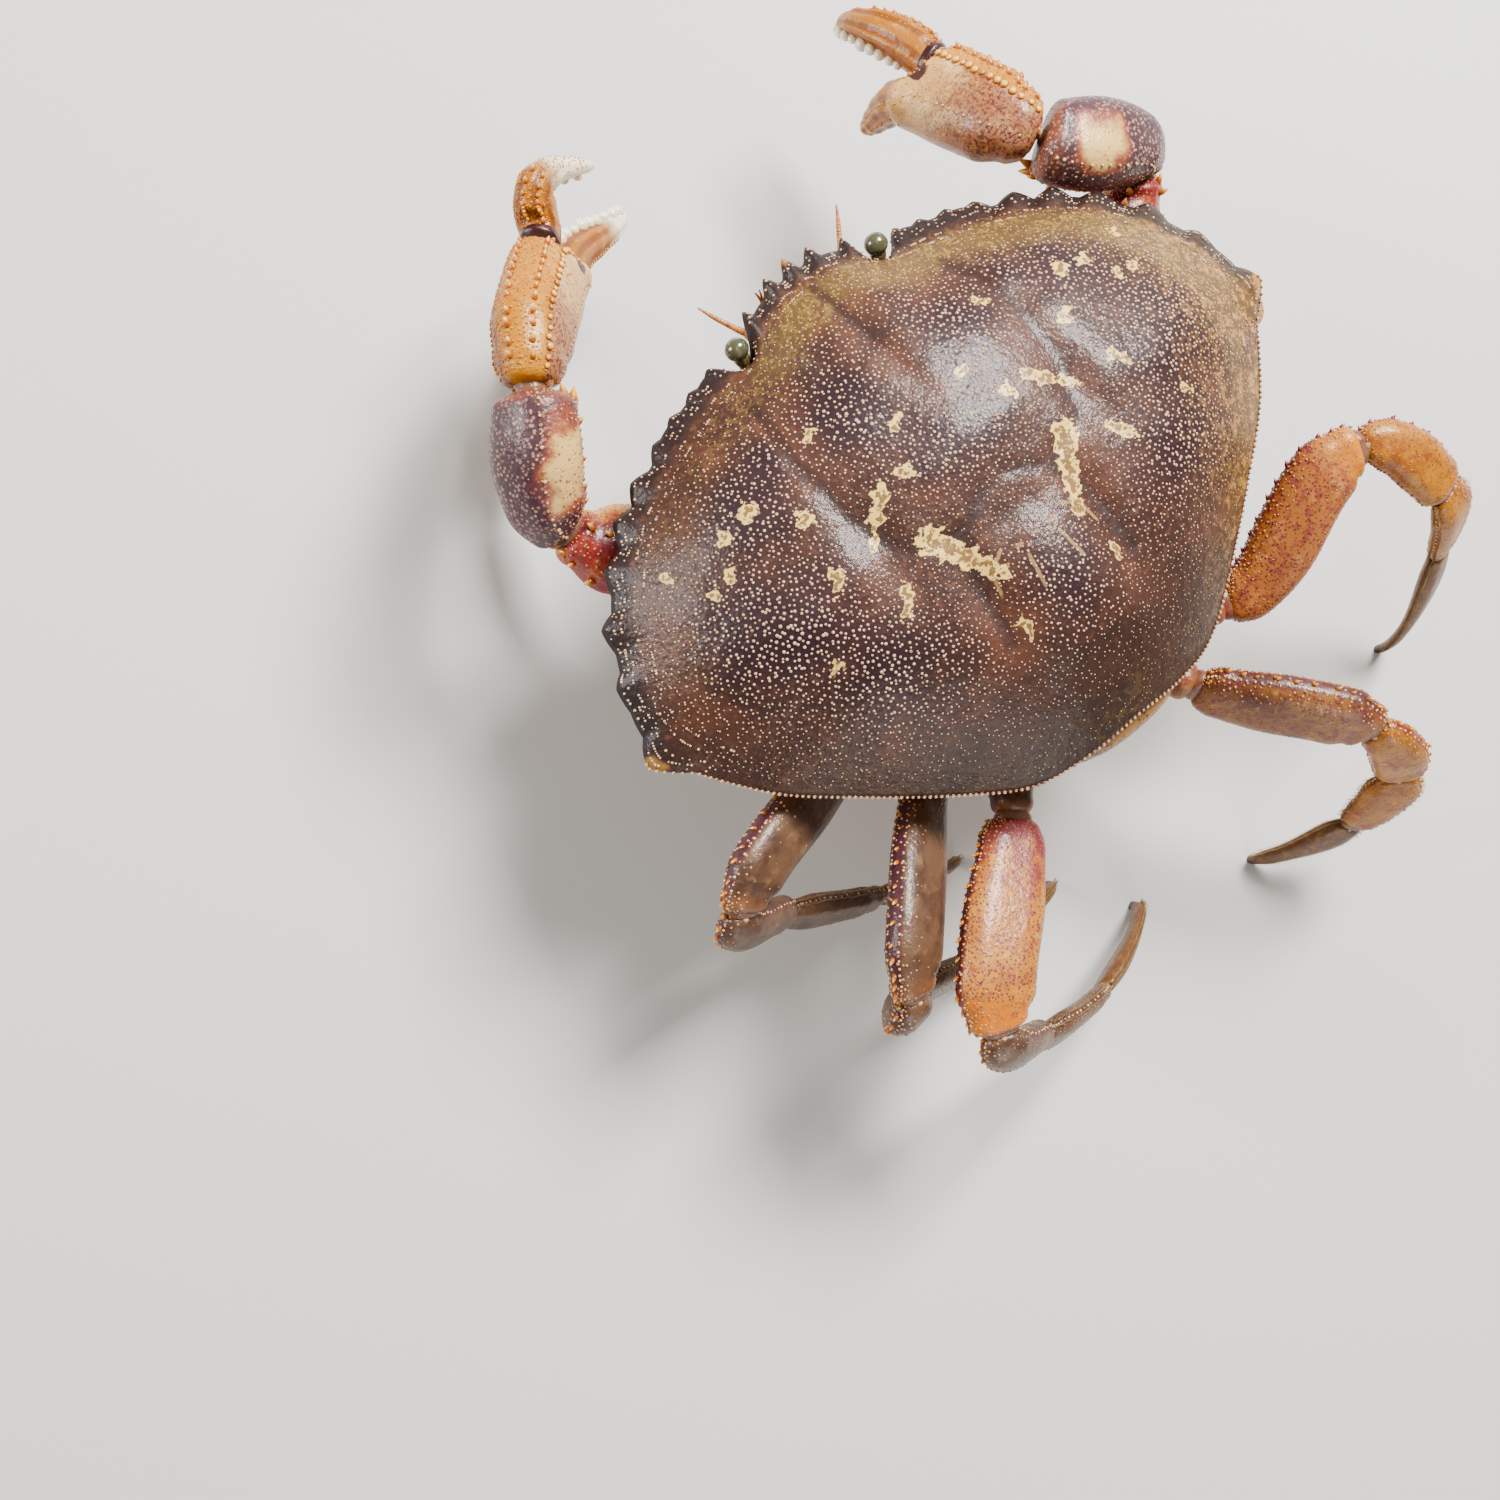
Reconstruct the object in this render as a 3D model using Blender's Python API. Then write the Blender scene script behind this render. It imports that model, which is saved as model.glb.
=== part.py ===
"""Dungeness crab, life size, standing on the tips of its eight walking legs.

Metres, +Z up. The crab faces -Y and its left side is +X. The floor is z = 0, and the origin lies
on it under the middle of the whole animal. Sizes and places below are in millimetres in the
crab's own frame, whose origin is the middle of the shell's widest line, and `to_world` carries
them to the part's frame.
"""

import math

import bmesh
import bpy
import numpy as np
from mathutils import Matrix

MM = 0.001
GAP = 0.3

# Where the middle of the shell's widest line stands in the part's frame
BODY_X = 4.4
BODY_Y = -3.5
RIM_HEIGHT = 70.0

# Shell
DOME_HEIGHT = 25.5
DOME_POWER = 2.6
SHELL_BOTTOM = -12.0
MOUTH_DROP = -7.0
RIM_POINTS = [
    (0.0, -61.5, 6.0), (8.0, -60.8, 5.6), (14.0, -58.4, 4.6), (18.8, -56.0, 3.2),
    (25.0, -54.4, 1.6), (34.0, -52.6, 0.4), (50.9, -46.4, 0.0), (66.3, -36.0, 0.0),
    (77.0, -20.9, 0.0), (82.0, -3.1, 0.0), (70.0, 17.0, 0.0), (54.0, 31.5, 0.2),
    (37.0, 44.5, 0.8), (24.5, 52.0, 2.2), (12.0, 53.4, 6.8), (0.0, 53.0, 8.6),
]
COLUMNS_PER_SPAN = 3
TOP_RINGS = [1.0, 0.93, 0.82, 0.68, 0.52, 0.35, 0.17]
UNDER_RINGS = [(0.2, -1.4), (0.5, -3.6), (0.8, -7.2), (1.0, SHELL_BOTTOM)]
FLOOR_SHARES = [0.8, 0.62, 0.3]
UNDER_HALF_WIDTH = 37.0
UNDER_FRONT = -44.0
UNDER_REAR = 42.0

# Orbits: notches in the front rim that fade out over the back and the underside
ORBIT_SIDE = 18.8
ORBIT_REACH = 3.3
ORBIT_DEPTH = 5.2
ORBIT_FADE = {1.0: 1.0, 0.93: 0.45}
ORBIT_FADE_UNDER = {0.2: 0.9, 0.5: 0.3}

# Tips of the ten teeth from the orbit back to the widest point, then the teeth's common sizes
SIDE_TEETH = [
    (25.0, -57.4, 1.6), (31.0, -55.6, 0.7), (37.3, -54.0, 0.2), (43.4, -51.7, 0.0), (52.0, -48.2, 0.0),
    (59.8, -44.0, 0.0), (67.4, -37.4, 0.0), (75.4, -28.3, 0.0), (80.4, -17.2, 0.0), (85.0, -0.6, 0.0),
]
TOOTH_LENGTH = 10.0
TOOTH_HALF_WIDTH = 6.6
TOOTH_HALF_HEIGHT = 2.9
TOOTH_RISE = 2.2
TOOTH_OUTWARD = 0.85
TOOTH_FORWARD = 0.5
FRONT_TEETH = [(0.0, -65.0, 7.0), (5.6, -64.0, 6.6), (13.2, -61.6, 5.8)]
SUBORBITAL_TOOTH = (20.4, -54.8, -2.2)
FRONT_TOOTH_LENGTH = 8.0
FRONT_TOOTH_HALF_WIDTH = 2.0
FRONT_TOOTH_HALF_HEIGHT = 2.0
CONE_SIDES = 6
SPINE_SIDES = 5
BLUNTNESS = 0.12
SEED = 11

# Swellings of the back: side distance, y, height, and the reach along x and y
SWELLINGS = [
    (14.0, -31.0, 2.0, 10.0, 11.0), (0.0, -14.0, 1.6, 12.0, 9.0), (43.0, -28.0, 1.5, 12.0, 9.0),
    (53.0, -8.0, 1.8, 15.0, 11.0), (38.0, 13.0, 1.7, 15.0, 12.0), (0.0, 19.0, 1.6, 10.0, 11.0),
    (26.0, -8.0, -1.3, 5.0, 14.0), (15.0, 12.0, -1.5, 4.0, 12.0),
]

# Sternum: each side has one flat facet for each limb, given by its length and facing angle
STERNUM_TOP = -12.4
STERNUM_BOTTOM = -29.0
STERNUM_FRONT = (17.0, -23.0)
STERNUM_FACETS = [(16.0, -35.0), (15.5, -12.0), (15.5, 8.0), (15.0, 28.0), (15.0, 52.0)]
HIP_HEIGHT = -21.5

# Joints of each limb from the hip outward, in the crab's frame
LIMB_JOINTS = {
    "cheliped_left": [(36, -26, -23), (66.2, -50.0, -12), (56.1, -74.7, 0)],
    "cheliped_right": [(-36, -25, -23), (-85.2, -36.4, -14.5), (-65.4, -54.2, -2)],
    "leg1_left": [(43, -12, -28), (62.5, -45.5, -38), (56.5, -70, -47), (43, -91, -57), (27, -106, -70)],
    "leg2_left": [(44, 22, -22), (87.6, 34.2, -9), (78.5, 44, -33), (56.5, 57.5, -50), (33, 66, -70)],
    "leg3_left": [(35, 37, -20), (70.8, 70.7, -8), (66.5, 76, -33), (46, 84, -50), (18, 86, -70)],
    "leg4_left": [(28, 57, -16), (60.8, 88.5, -8), (52, 101, -28), (30, 108, -46), (4, 104, -70)],
    "leg1_right": [(-43, -9, -28), (-83, -19, -36), (-93, -31, -46), (-78, -44, -57), (-54, -54, -70)],
    "leg2_right": [(-44, 15, -25), (-88, 6, -24), (-96, 0, -46), (-80, -12, -58), (-56, -18, -70)],
    "leg3_right": [(-43, 52, -22), (-80.9, 41.4, -2), (-94, 61.6, -8), (-97.6, 76.5, -30), (-90.4, 95, -70)],
    "leg4_right": [(-24, 61, -18), (-48, 93, -12), (-54, 110, -28), (-46, 118, -48), (-28, 115, -70)],
}

# Direction that the upper edge of each limb faces
LIMB_UP = {
    "cheliped_left": (0.1, -0.2, 1.0),
    "cheliped_right": (0.0, -0.3, 1.0),
    "leg1_left": (0.1, -0.3, 1.0),
    "leg2_left": (0.3, -0.8, 0.7),
    "leg3_left": (0.5, -0.6, 0.6),
    "leg4_left": (0.75, -0.7, 0.15),
    "leg1_right": (-0.1, -0.3, 1.0),
    "leg2_right": (0.0, -0.2, 1.0),
    "leg3_right": (0.35, -0.9, 0.25),
    "leg4_right": (-0.4, -0.2, 0.9),
}

# Height and thickness of the merus, carpus, propodus and dactyl of each walking leg pair
LEG_SIZES = {
    "leg1": [(13.0, 8.5), (11.0, 8.0), (9.5, 6.5), (7.0, 5.0)],
    "leg2": [(13.5, 9.0), (11.5, 8.5), (10.0, 6.5), (7.0, 5.0)],
    "leg3": [(14.5, 9.0), (12.0, 8.5), (11.0, 6.5), (8.0, 5.0)],
    "leg4": [(16.5, 9.0), (12.0, 8.0), (12.5, 6.0), (9.0, 4.6)],
}
LEG_SEGMENTS = ["base", "merus", "carpus", "propodus", "dactyl"]
FOOT_RADIUS = 1.1
HIP_SIZE = (13.0, 12.0)

# Fullness along a segment: place along it and share of its full height and thickness
MERUS_SHAPE = [(0.0, 0.62, 0.70), (0.12, 0.84, 0.88), (0.45, 1.0, 1.0), (0.8, 0.98, 1.0), (1.0, 0.66, 0.80)]
ARM_MERUS_SHAPE = [(0.0, 0.62, 0.5), (0.15, 0.84, 0.7), (0.45, 1.0, 1.0), (0.72, 0.98, 0.95), (1.0, 0.66, 0.54)]
CARPUS_SHAPE = [(0.0, 0.66, 0.74), (0.25, 0.88, 0.95), (0.6, 1.0, 1.0), (0.85, 0.95, 0.95), (1.0, 0.72, 0.8)]
PROPODUS_SHAPE = [(0.0, 0.70, 0.80), (0.3, 1.0, 1.0), (0.75, 0.88, 0.9), (1.0, 0.62, 0.72)]
BASE_SHAPE = [(0.0, 0.95, 0.95), (0.35, 0.95, 0.95), (0.7, 0.78, 0.82), (1.0, 0.62, 0.64)]

# Chelipeds: height and thickness of base, merus and carpus, then the palm and its fingers
CHELIPED_SIZES = [(14.5, 13.5), (15.5, 21.0), (19.0, 17.0)]
PALM_HEIGHTS = [12.5, 15.5, 19.8, 20.6, 20.0]
PALM_WIDTHS = [11.5, 13.8, 15.2, 15.2, 13.8]
PALM_PLACES = [0.0, 0.14, 0.36, 0.7, 1.0]
HINGE_RISE = 5.2
FIXED_PLACES = [0.0, 0.2, 0.45, 0.7, 0.88, 1.0]
FIXED_HEIGHTS = [9.4, 9.0, 7.8, 6.0, 4.3, 2.2]
MOVING_PLACES = [0.0, 0.14, 0.3, 0.5, 0.7, 0.87, 1.0]
MOVING_HEIGHTS = [9.3, 10.0, 9.7, 8.7, 6.9, 4.6, 2.4]
CLAWS = {
    "left": {"palm_end": (31.5, -98.5, -19.0), "up": (0.035, -0.672, 0.74),
             "fixed_tip": (6.3, -102.3, -40.0), "moving_tip": (9.8, -111.1, -25.0),
             "moving_bow": (26.6, -110.4, -12.0)},
    "right": {"palm_end": (-59.0, -82.1, -18.0), "up": (-0.896, -0.431, 0.117),
              "fixed_tip": (-51.1, -84.8, -38.0), "moving_tip": (-60.6, -106.5, -34.0),
              "moving_bow": (-61.3, -97.0, -22.0)},
}

# Spines and teeth of the limbs: length and base half width, and the places of each row in rings
CREST_SPINE = (1.7, 1.3)
CREST_ROWS = [1.2, 1.75, 2.3, 2.85, 3.4, 3.85]
CREST_SPREAD = 0.075
FINGER_ROWS = [0.9, 1.8, 2.7, 3.6]
BITE_TOOTH = (1.3, 1.7)
FIXED_BITE_ROWS = [5.5, 6.1, 6.7, 7.3, 7.9, 8.5, 9.1]
MOVING_BITE_ROWS = [1.5, 2.2, 2.9, 3.6, 4.3, 4.9]
LEG_SPINE = (1.1, 0.95)
MERUS_ROWS = [0.6, 1.1, 1.55, 2.0, 2.5, 3.0, 3.5]
CARPUS_ROWS = [0.8, 1.6, 2.4, 3.2]
PROPODUS_ROWS = [0.8, 1.7, 2.6]
JOINT_SPINE = (3.4, 1.8)
ARM_JOINT_SPINE = {"merus": (3.7, 0.02), "carpus": (4.1, 0.17)}
ARM_MERUS_ROWS = [1.6, 2.4, 3.1]
ARM_CARPUS_INNER_ROWS = [1.4, 2.1, 2.8, 3.5]
ARM_CARPUS_OUTER_ROWS = [1.8, 2.6, 3.4]
ARM_CARPUS_SPREAD = 0.06

# Abdomen: y, z, half width and thickness from under the shell's rear edge to its tip
ABDOMEN_PATH = [
    (53.8, 4.8, 9.2, 3.0), (53.8, 3.0, 11.6, 5.4), (53.4, -5.0, 13.5, 8.8), (51.8, -15.0, 13.6, 8.6),
    (49.6, -25.8, 12.4, 5.4), (43.4, -32.0, 11.5, 3.4), (36.0, -31.6, 11.0, 3.4), (20.0, -31.3, 9.5, 3.4),
    (2.0, -31.3, 6.0, 3.2), (-8.0, -31.3, 2.0, 2.6),
]

EYE_RADIUS = 2.4
EYE_CENTRE = (18.6, -56.0, 5.0)
EYE_ROOT = (17.9, -51.2, 0.6)
EYE_FACING = (0.05, -0.6, 0.8)
EYE_PULL = 4.0
EYE_STALK = [3.2, 3.0, 2.9, 3.3, 4.2]
EYE_BALL = [(0.0, 2.0), (0.7, 1.4), (0.95, 0.6)]

# Antennae: root on the face, its facing, tip and pulls, then the thickness from root to tip
ANTENNA_ROOT = (10.6, -54.0, -1.2)
ANTENNA_FACING = (0.2, -0.79, -0.58)
ANTENNA_TIP = (18.5, -68.0, 1.5)
ANTENNA_PULL = 9.0
ANTENNA_TIP_PULL = (5.6, -12.0, 4.8)
ANTENNA_PLACES = [0.0, 0.1, 0.22, 0.36, 0.55, 0.78, 1.0]
ANTENNA_SIZES = [5.0, 4.8, 3.6, 2.6, 1.6, 1.1, 0.6]

# Outer mouth plates: y, z, width and thickness from the front edge down the face to the sternum
MAXILLIPED_PATH = [
    (-52.7, -5.8, 8.6, 2.2), (-50.8, -10.0, 11.8, 3.2), (-48.0, -15.6, 12.8, 3.6), (-45.6, -20.9, 12.8, 4.2),
    (-39.0, -23.2, 12.2, 6.0), (-30.5, -22.4, 10.6, 7.6), (-25.5, -22.0, 8.4, 7.0),
]
MAXILLIPED_TURN = 0.16

COLOURS = {
    "shell": (0.16, 0.07, 0.045, 0.35), "limb": (0.42, 0.22, 0.11, 0.45),
    "claw": (0.55, 0.33, 0.16, 0.4), "under": (0.62, 0.48, 0.33, 0.5),
    "eye": (0.02, 0.02, 0.018, 0.12),
}


def to_world(points):
    """Carry points in millimetres from the crab's frame to metres in the part's frame."""
    return (np.asarray(points, float) + (BODY_X, BODY_Y, RIM_HEIGHT)) * MM


def unit(vector):
    """Return the vector at length one."""
    vector = np.asarray(vector, float)
    return vector / np.linalg.norm(vector)


def smooth_table(table, places):
    """Read a table of places and values at other places, eased between its rows."""
    table = np.asarray(table, float)
    places = np.asarray(places, float)
    row = np.clip(np.searchsorted(table[:, 0], places, side="right") - 1, 0, len(table) - 2)
    span = table[row + 1, 0] - table[row, 0]
    share = np.clip((places - table[row, 0]) / span, 0.0, 1.0)[:, None]
    eased = share * share * (3.0 - 2.0 * share)
    return table[row, 1:] * (1.0 - eased) + table[row + 1, 1:] * eased


def material(kind):
    """Return the material of one kind of surface, made at its first use."""
    found = bpy.data.materials.get(kind)
    if found:
        return found
    red, green, blue, roughness = COLOURS[kind]
    made = bpy.data.materials.new(kind)
    made.use_nodes = True
    shader = made.node_tree.nodes["Principled BSDF"]
    shader.inputs["Base Color"].default_value = (red, green, blue, 1.0)
    shader.inputs["Roughness"].default_value = roughness
    shader.inputs["Metallic"].default_value = 0.0
    made.diffuse_color = (red, green, blue, 1.0)
    return made


def add_solid(name, vertices, faces, kind, collection):
    """Make a named closed solid from vertices in the crab's frame, smooth where it is round."""
    mesh = bpy.data.meshes.new(name)
    mesh.from_pydata([tuple(v) for v in to_world(vertices)], [], faces)
    shape = bmesh.new()
    shape.from_mesh(mesh)
    bmesh.ops.recalc_face_normals(shape, faces=shape.faces)
    shape.to_mesh(mesh)
    shape.free()
    mesh.shade_smooth()
    mesh.set_sharp_from_angle(angle=math.radians(50))
    solid = bpy.data.objects.new(name, mesh)
    collection.objects.link(solid)
    solid.data.materials.append(material(kind))
    return solid


def cone_between(root, tip, half_width, half_height, sides, flat_up):
    """Return a closed mesh of one blunt cone from its root to its tip, flattened if asked."""
    axis = unit(np.asarray(tip, float) - root)
    side = unit(np.cross(flat_up, axis))
    top = np.cross(axis, side)
    length = np.linalg.norm(np.asarray(tip, float) - root)
    frame = np.eye(4)
    frame[:3, 0] = side * half_width * MM
    frame[:3, 1] = top * half_height * MM
    frame[:3, 2] = axis * length * MM
    frame[:3, 3] = to_world((np.asarray(root, float) + tip) / 2)
    shape = bmesh.new()
    bmesh.ops.create_cone(shape, cap_ends=True, segments=sides, radius1=1.0, radius2=BLUNTNESS, depth=1.0,
                          matrix=Matrix(frame.tolist()))
    mesh = bpy.data.meshes.new("form")
    shape.to_mesh(mesh)
    shape.free()
    return mesh


def keep_largest(mesh):
    """Delete every closed surface of the mesh but the one with the most faces."""
    shape = bmesh.new()
    shape.from_mesh(mesh)
    waiting = set(shape.faces)
    groups = []
    while waiting:
        group = [waiting.pop()]
        for face in group:
            for edge in face.edges:
                for neighbour in edge.link_faces:
                    if neighbour in waiting:
                        waiting.discard(neighbour)
                        group.append(neighbour)
        groups.append(group)
    groups.sort(key=len)
    for group in groups[:-1]:
        bmesh.ops.delete(shape, geom=group, context="FACES")
    shape.to_mesh(mesh)
    shape.free()


def fuse(solid, cones):
    """Unite a solid with its teeth or spines in one Boolean on their collection."""
    forms = bpy.data.collections.new(f"{solid.name}_forms")
    bpy.context.scene.collection.children.link(forms)
    for mesh in cones:
        form = bpy.data.objects.new(f"{solid.name}_form", mesh)
        form.hide_render = True
        form.display_type = "WIRE"
        forms.objects.link(form)
    union = solid.modifiers.new("forms", "BOOLEAN")
    union.operation = "UNION"
    union.operand_type = "COLLECTION"
    union.collection = forms
    union.solver = "EXACT"
    bpy.context.view_layer.update()
    evaluated = solid.evaluated_get(bpy.context.evaluated_depsgraph_get())
    joined = bpy.data.meshes.new_from_object(evaluated)
    solid.modifiers.clear()
    plain = solid.data
    solid.data = joined
    bpy.data.meshes.remove(plain)
    for form in list(forms.objects):
        mesh = form.data
        bpy.data.objects.remove(form, do_unlink=True)
        bpy.data.meshes.remove(mesh)
    bpy.data.collections.remove(forms)
    keep_largest(joined)
    joined.shade_smooth()
    joined.set_sharp_from_angle(angle=math.radians(50))


def on_surface(rings, row, around):
    """Return the point at a place along the rings and a share of a turn around, and its outward side."""
    first = min(int(row), len(rings) - 2)
    ring = rings[first] * (first + 1 - row) + rings[first + 1] * (row - first)
    column = (around % 1.0) * len(ring)
    low = int(column)
    point = ring[low] * (low + 1 - column) + ring[(low + 1) % len(ring)] * (column - low)
    return point, unit(point - ring.mean(0))


def row_of_spines(rings, rows, around, size, lean, chance):
    """Return cones along one row of a limb, each leaning forward and varied a little in size."""
    cones = []
    for row in rows:
        point, outward = on_surface(rings, row, around)
        ahead, _ = on_surface(rings, min(row + 0.4, len(rings) - 1), around)
        length, half_width = size
        vary = chance.uniform(0.85, 1.15)
        along = unit(ahead - point)
        way = unit(outward + lean * along)
        cones.append(cone_between(point - way * half_width, point + way * length * vary, half_width * vary,
                                  half_width * vary, SPINE_SIDES, along + 0.3 * outward))
    return cones


def ring_faces(rings, count):
    """List the quads between closed rings of equal count and the two end faces."""
    faces = []
    for ring in range(rings - 1):
        for i in range(count):
            j = (i + 1) % count
            first = ring * count
            faces.append((first + i, first + j, first + count + j, first + count + i))
    faces.append(tuple(range(count))[::-1])
    faces.append(tuple(range((rings - 1) * count, rings * count)))
    return faces


def carry_up(up, normals):
    """Carry an upward direction along a path so that the rings don't twist."""
    tops = []
    for normal in normals:
        normal = unit(normal)
        up = unit(up - np.dot(up, normal) * normal)
        tops.append(up)
    return tops


def loft(centres, normals, tops, heights, widths, count=10):
    """Build closed rings along a path, each an ellipse square to its own normal."""
    angles = 2.0 * math.pi * np.arange(count) / count
    rings = []
    for centre, normal, top, height, width in zip(centres, normals, tops, heights, widths):
        side = np.cross(unit(normal), top)
        rings.append(centre + np.outer(np.cos(angles), top) * height / 2
                     + np.outer(np.sin(angles), side) * width / 2)
    return np.concatenate(rings), ring_faces(len(rings), count)


def hermite(start, end, start_pull, end_pull, places):
    """Return points and directions on the cubic curve with the given end pulls."""
    t = np.asarray(places, float)[:, None]
    points = ((2 * t**3 - 3 * t**2 + 1) * start + (t**3 - 2 * t**2 + t) * start_pull
              + (3 * t**2 - 2 * t**3) * end + (t**3 - t**2) * end_pull)
    slopes = ((6 * t**2 - 6 * t) * start + (3 * t**2 - 4 * t + 1) * start_pull
              + (6 * t - 6 * t**2) * end + (3 * t**2 - 2 * t) * end_pull)
    return points, slopes


def limb_segment(start, end, start_normal, end_normal, up, size, shape, places, count=10):
    """Loft one limb segment between two joint planes, half a gap clear of each.

    Returns its vertices, its faces and the upward direction at its far end.
    """
    start = np.asarray(start, float) + start_normal * GAP / 2
    end = np.asarray(end, float) - end_normal * GAP / 2
    length = np.linalg.norm(end - start)
    centres, slopes = hermite(start, end, start_normal * length, end_normal * length, places)
    shares = smooth_table(shape, places)
    tops = carry_up(np.asarray(up, float), slopes)
    vertices, faces = loft(centres, slopes, tops, shares[:, 0] * size[0], shares[:, 1] * size[1], count)
    return vertices, faces, tops[-1]


def rim_line():
    """Return the closed rim of the shell as a smooth line through its points."""
    half = np.asarray(RIM_POINTS, float)
    whole = np.concatenate([half, half[-2:0:-1] * (-1, 1, 1)])
    before, after, later = np.roll(whole, 1, 0), np.roll(whole, -1, 0), np.roll(whole, -2, 0)
    spans = []
    for t in np.arange(COLUMNS_PER_SPAN) / COLUMNS_PER_SPAN:
        spans.append(0.5 * (2 * whole + (after - before) * t
                            + (2 * before - 5 * whole + 4 * after - later) * t**2
                            + (3 * whole - before - 3 * after + later) * t**3))
    return np.stack(spans, 1).reshape(-1, 3)


def swelling_height(points):
    """Add the swellings of the back, each a soft hump on both sides."""
    total = np.zeros(len(points))
    for side, along, height, reach_x, reach_y in SWELLINGS:
        for sign in (1.0, -1.0) if side else (1.0,):
            total += height * np.exp(-((points[:, 0] - sign * side) / reach_x)**2
                                     - ((points[:, 1] - along) / reach_y)**2)
    return total


def shell_rings():
    """Return the shell's rings from the middle of the back over the rim to its underside."""
    rim = rim_line()
    centre = np.array([0.0, -4.0, 0.0])
    front = rim[:, 1] < centre[1]
    notch = front * ORBIT_DEPTH * np.exp(-((np.abs(rim[:, 0]) - ORBIT_SIDE) / ORBIT_REACH)**2)
    rings = []
    for share in TOP_RINGS[::-1]:
        ring = centre + (rim - centre) * share
        fade = min(1.0, (1.0 - share) / 0.2)
        ring[:, 2] = rim[:, 2] * share**2 + DOME_HEIGHT * (1.0 - share**DOME_POWER)
        ring[:, 2] += swelling_height(ring) * fade
        ring[:, 1] += notch * ORBIT_FADE.get(share, 0.0)
        rings.append(ring)
    angles = np.arctan2(rim[:, 1] - centre[1], rim[:, 0])
    middle = (UNDER_FRONT + UNDER_REAR) / 2
    reach = (UNDER_REAR - UNDER_FRONT) / 2
    under = np.stack([UNDER_HALF_WIDTH * np.sign(np.cos(angles)) * np.abs(np.cos(angles))**0.8,
                      middle + reach * np.sign(np.sin(angles)) * np.abs(np.sin(angles))**0.8,
                      np.zeros(len(rim))], 1)
    for share, level in UNDER_RINGS:
        ring = rim * (1.0 - share) + under * share
        ring[:, 2] = level + rim[:, 2] * (1.0 - share) + mouth_drop(ring)
        ring[:, 1] += notch * ORBIT_FADE_UNDER.get(share, 0.0)
        rings.append(ring)
    for share in FLOOR_SHARES:
        ring = under * share
        ring[:, 2] = SHELL_BOTTOM + mouth_drop(ring)
        rings.append(ring)
    return rings


def mouth_drop(points):
    """Return how far the underside hangs lower round the mouth."""
    across = np.exp(-(points[:, 0] / 20.0)**4)
    along = np.clip((-30.0 - points[:, 1]) / 8.0, 0.0, 1.0)
    front = np.clip((points[:, 1] + 56.0) / 10.0, 0.0, 1.0)
    return MOUTH_DROP * across * along * along * (3.0 - 2.0 * along) * front


def build_shell(collection):
    """Build the carapace: domed back, thin rim and the underside that slopes in."""
    rings = shell_rings()
    solid = add_solid("carapace", np.concatenate(rings), ring_faces(len(rings), len(rings[0])),
                      "shell", collection)
    upward = np.array([0.0, 0.0, 1.0])
    cones = []
    for sign in (1.0, -1.0):
        for number, tip in enumerate(SIDE_TEETH):
            tip = np.array(tip) * (sign, 1, 1)
            outward = unit(tip * (1, 1, 0) + (0, 4.0, 0))
            way = unit(TOOTH_OUTWARD * outward + TOOTH_FORWARD * np.array([0.0, -1.0, 0.0]))
            if number == len(SIDE_TEETH) - 1:
                way = unit([sign, -0.1, 0.0])
            cones.append(cone_between(tip - way * TOOTH_LENGTH + upward * TOOTH_RISE, tip, TOOTH_HALF_WIDTH,
                                      TOOTH_HALF_HEIGHT, CONE_SIDES, upward))
        under = np.array(SUBORBITAL_TOOTH) * (sign, 1, 1)
        cones.append(cone_between(under + (0, FRONT_TOOTH_LENGTH, TOOTH_RISE), under, FRONT_TOOTH_HALF_WIDTH,
                                  FRONT_TOOTH_HALF_HEIGHT, CONE_SIDES, upward))
        for tip in FRONT_TEETH if sign > 0 else FRONT_TEETH[1:]:
            tip = np.array(tip) * (sign, 1, 1)
            cones.append(cone_between(tip + (0, FRONT_TOOTH_LENGTH, 0), tip, FRONT_TOOTH_HALF_WIDTH,
                                      FRONT_TOOTH_HALF_HEIGHT, CONE_SIDES, upward))
    fuse(solid, cones)
    return solid


def sternum_corners():
    """Return the left corners of the sternum and the middle and facing of each facet."""
    corner = np.array(STERNUM_FRONT, float)
    corners = [corner]
    hips = []
    for length, facing in STERNUM_FACETS:
        angle = math.radians(facing)
        normal = np.array([math.cos(angle), math.sin(angle)])
        following = corner + length * np.array([-normal[1], normal[0]])
        hips.append(((corner + following) / 2, normal))
        corners.append(following)
        corner = following
    return corners, hips


def build_sternum(collection):
    """Build the sternum block that carries all the limbs."""
    corners, _ = sternum_corners()
    left = [(c[0], c[1]) for c in corners]
    outline = left + [(-x, y) for x, y in left[::-1]]
    vertices = [(x, y, STERNUM_TOP) for x, y in outline] + [(x, y, STERNUM_BOTTOM) for x, y in outline]
    return add_solid("sternum", vertices, ring_faces(2, len(outline)), "under", collection)


def hip(number, sign):
    """Return the place and facing of one hip on the sternum's side."""
    place, normal = sternum_corners()[1][number]
    return (np.array([sign * place[0], place[1], HIP_HEIGHT]),
            np.array([sign * normal[0], normal[1], 0.0]))


def joint_normals(hip_normal, points, last):
    """Return the facing of every joint plane: between its two segments, or as given at the ends."""
    steps = [unit(b - a) for a, b in zip(points, points[1:])]
    inner = [unit(0.55 * a + 0.45 * b) for a, b in zip(steps, steps[1:])]
    return [hip_normal] + inner + [last]


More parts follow.
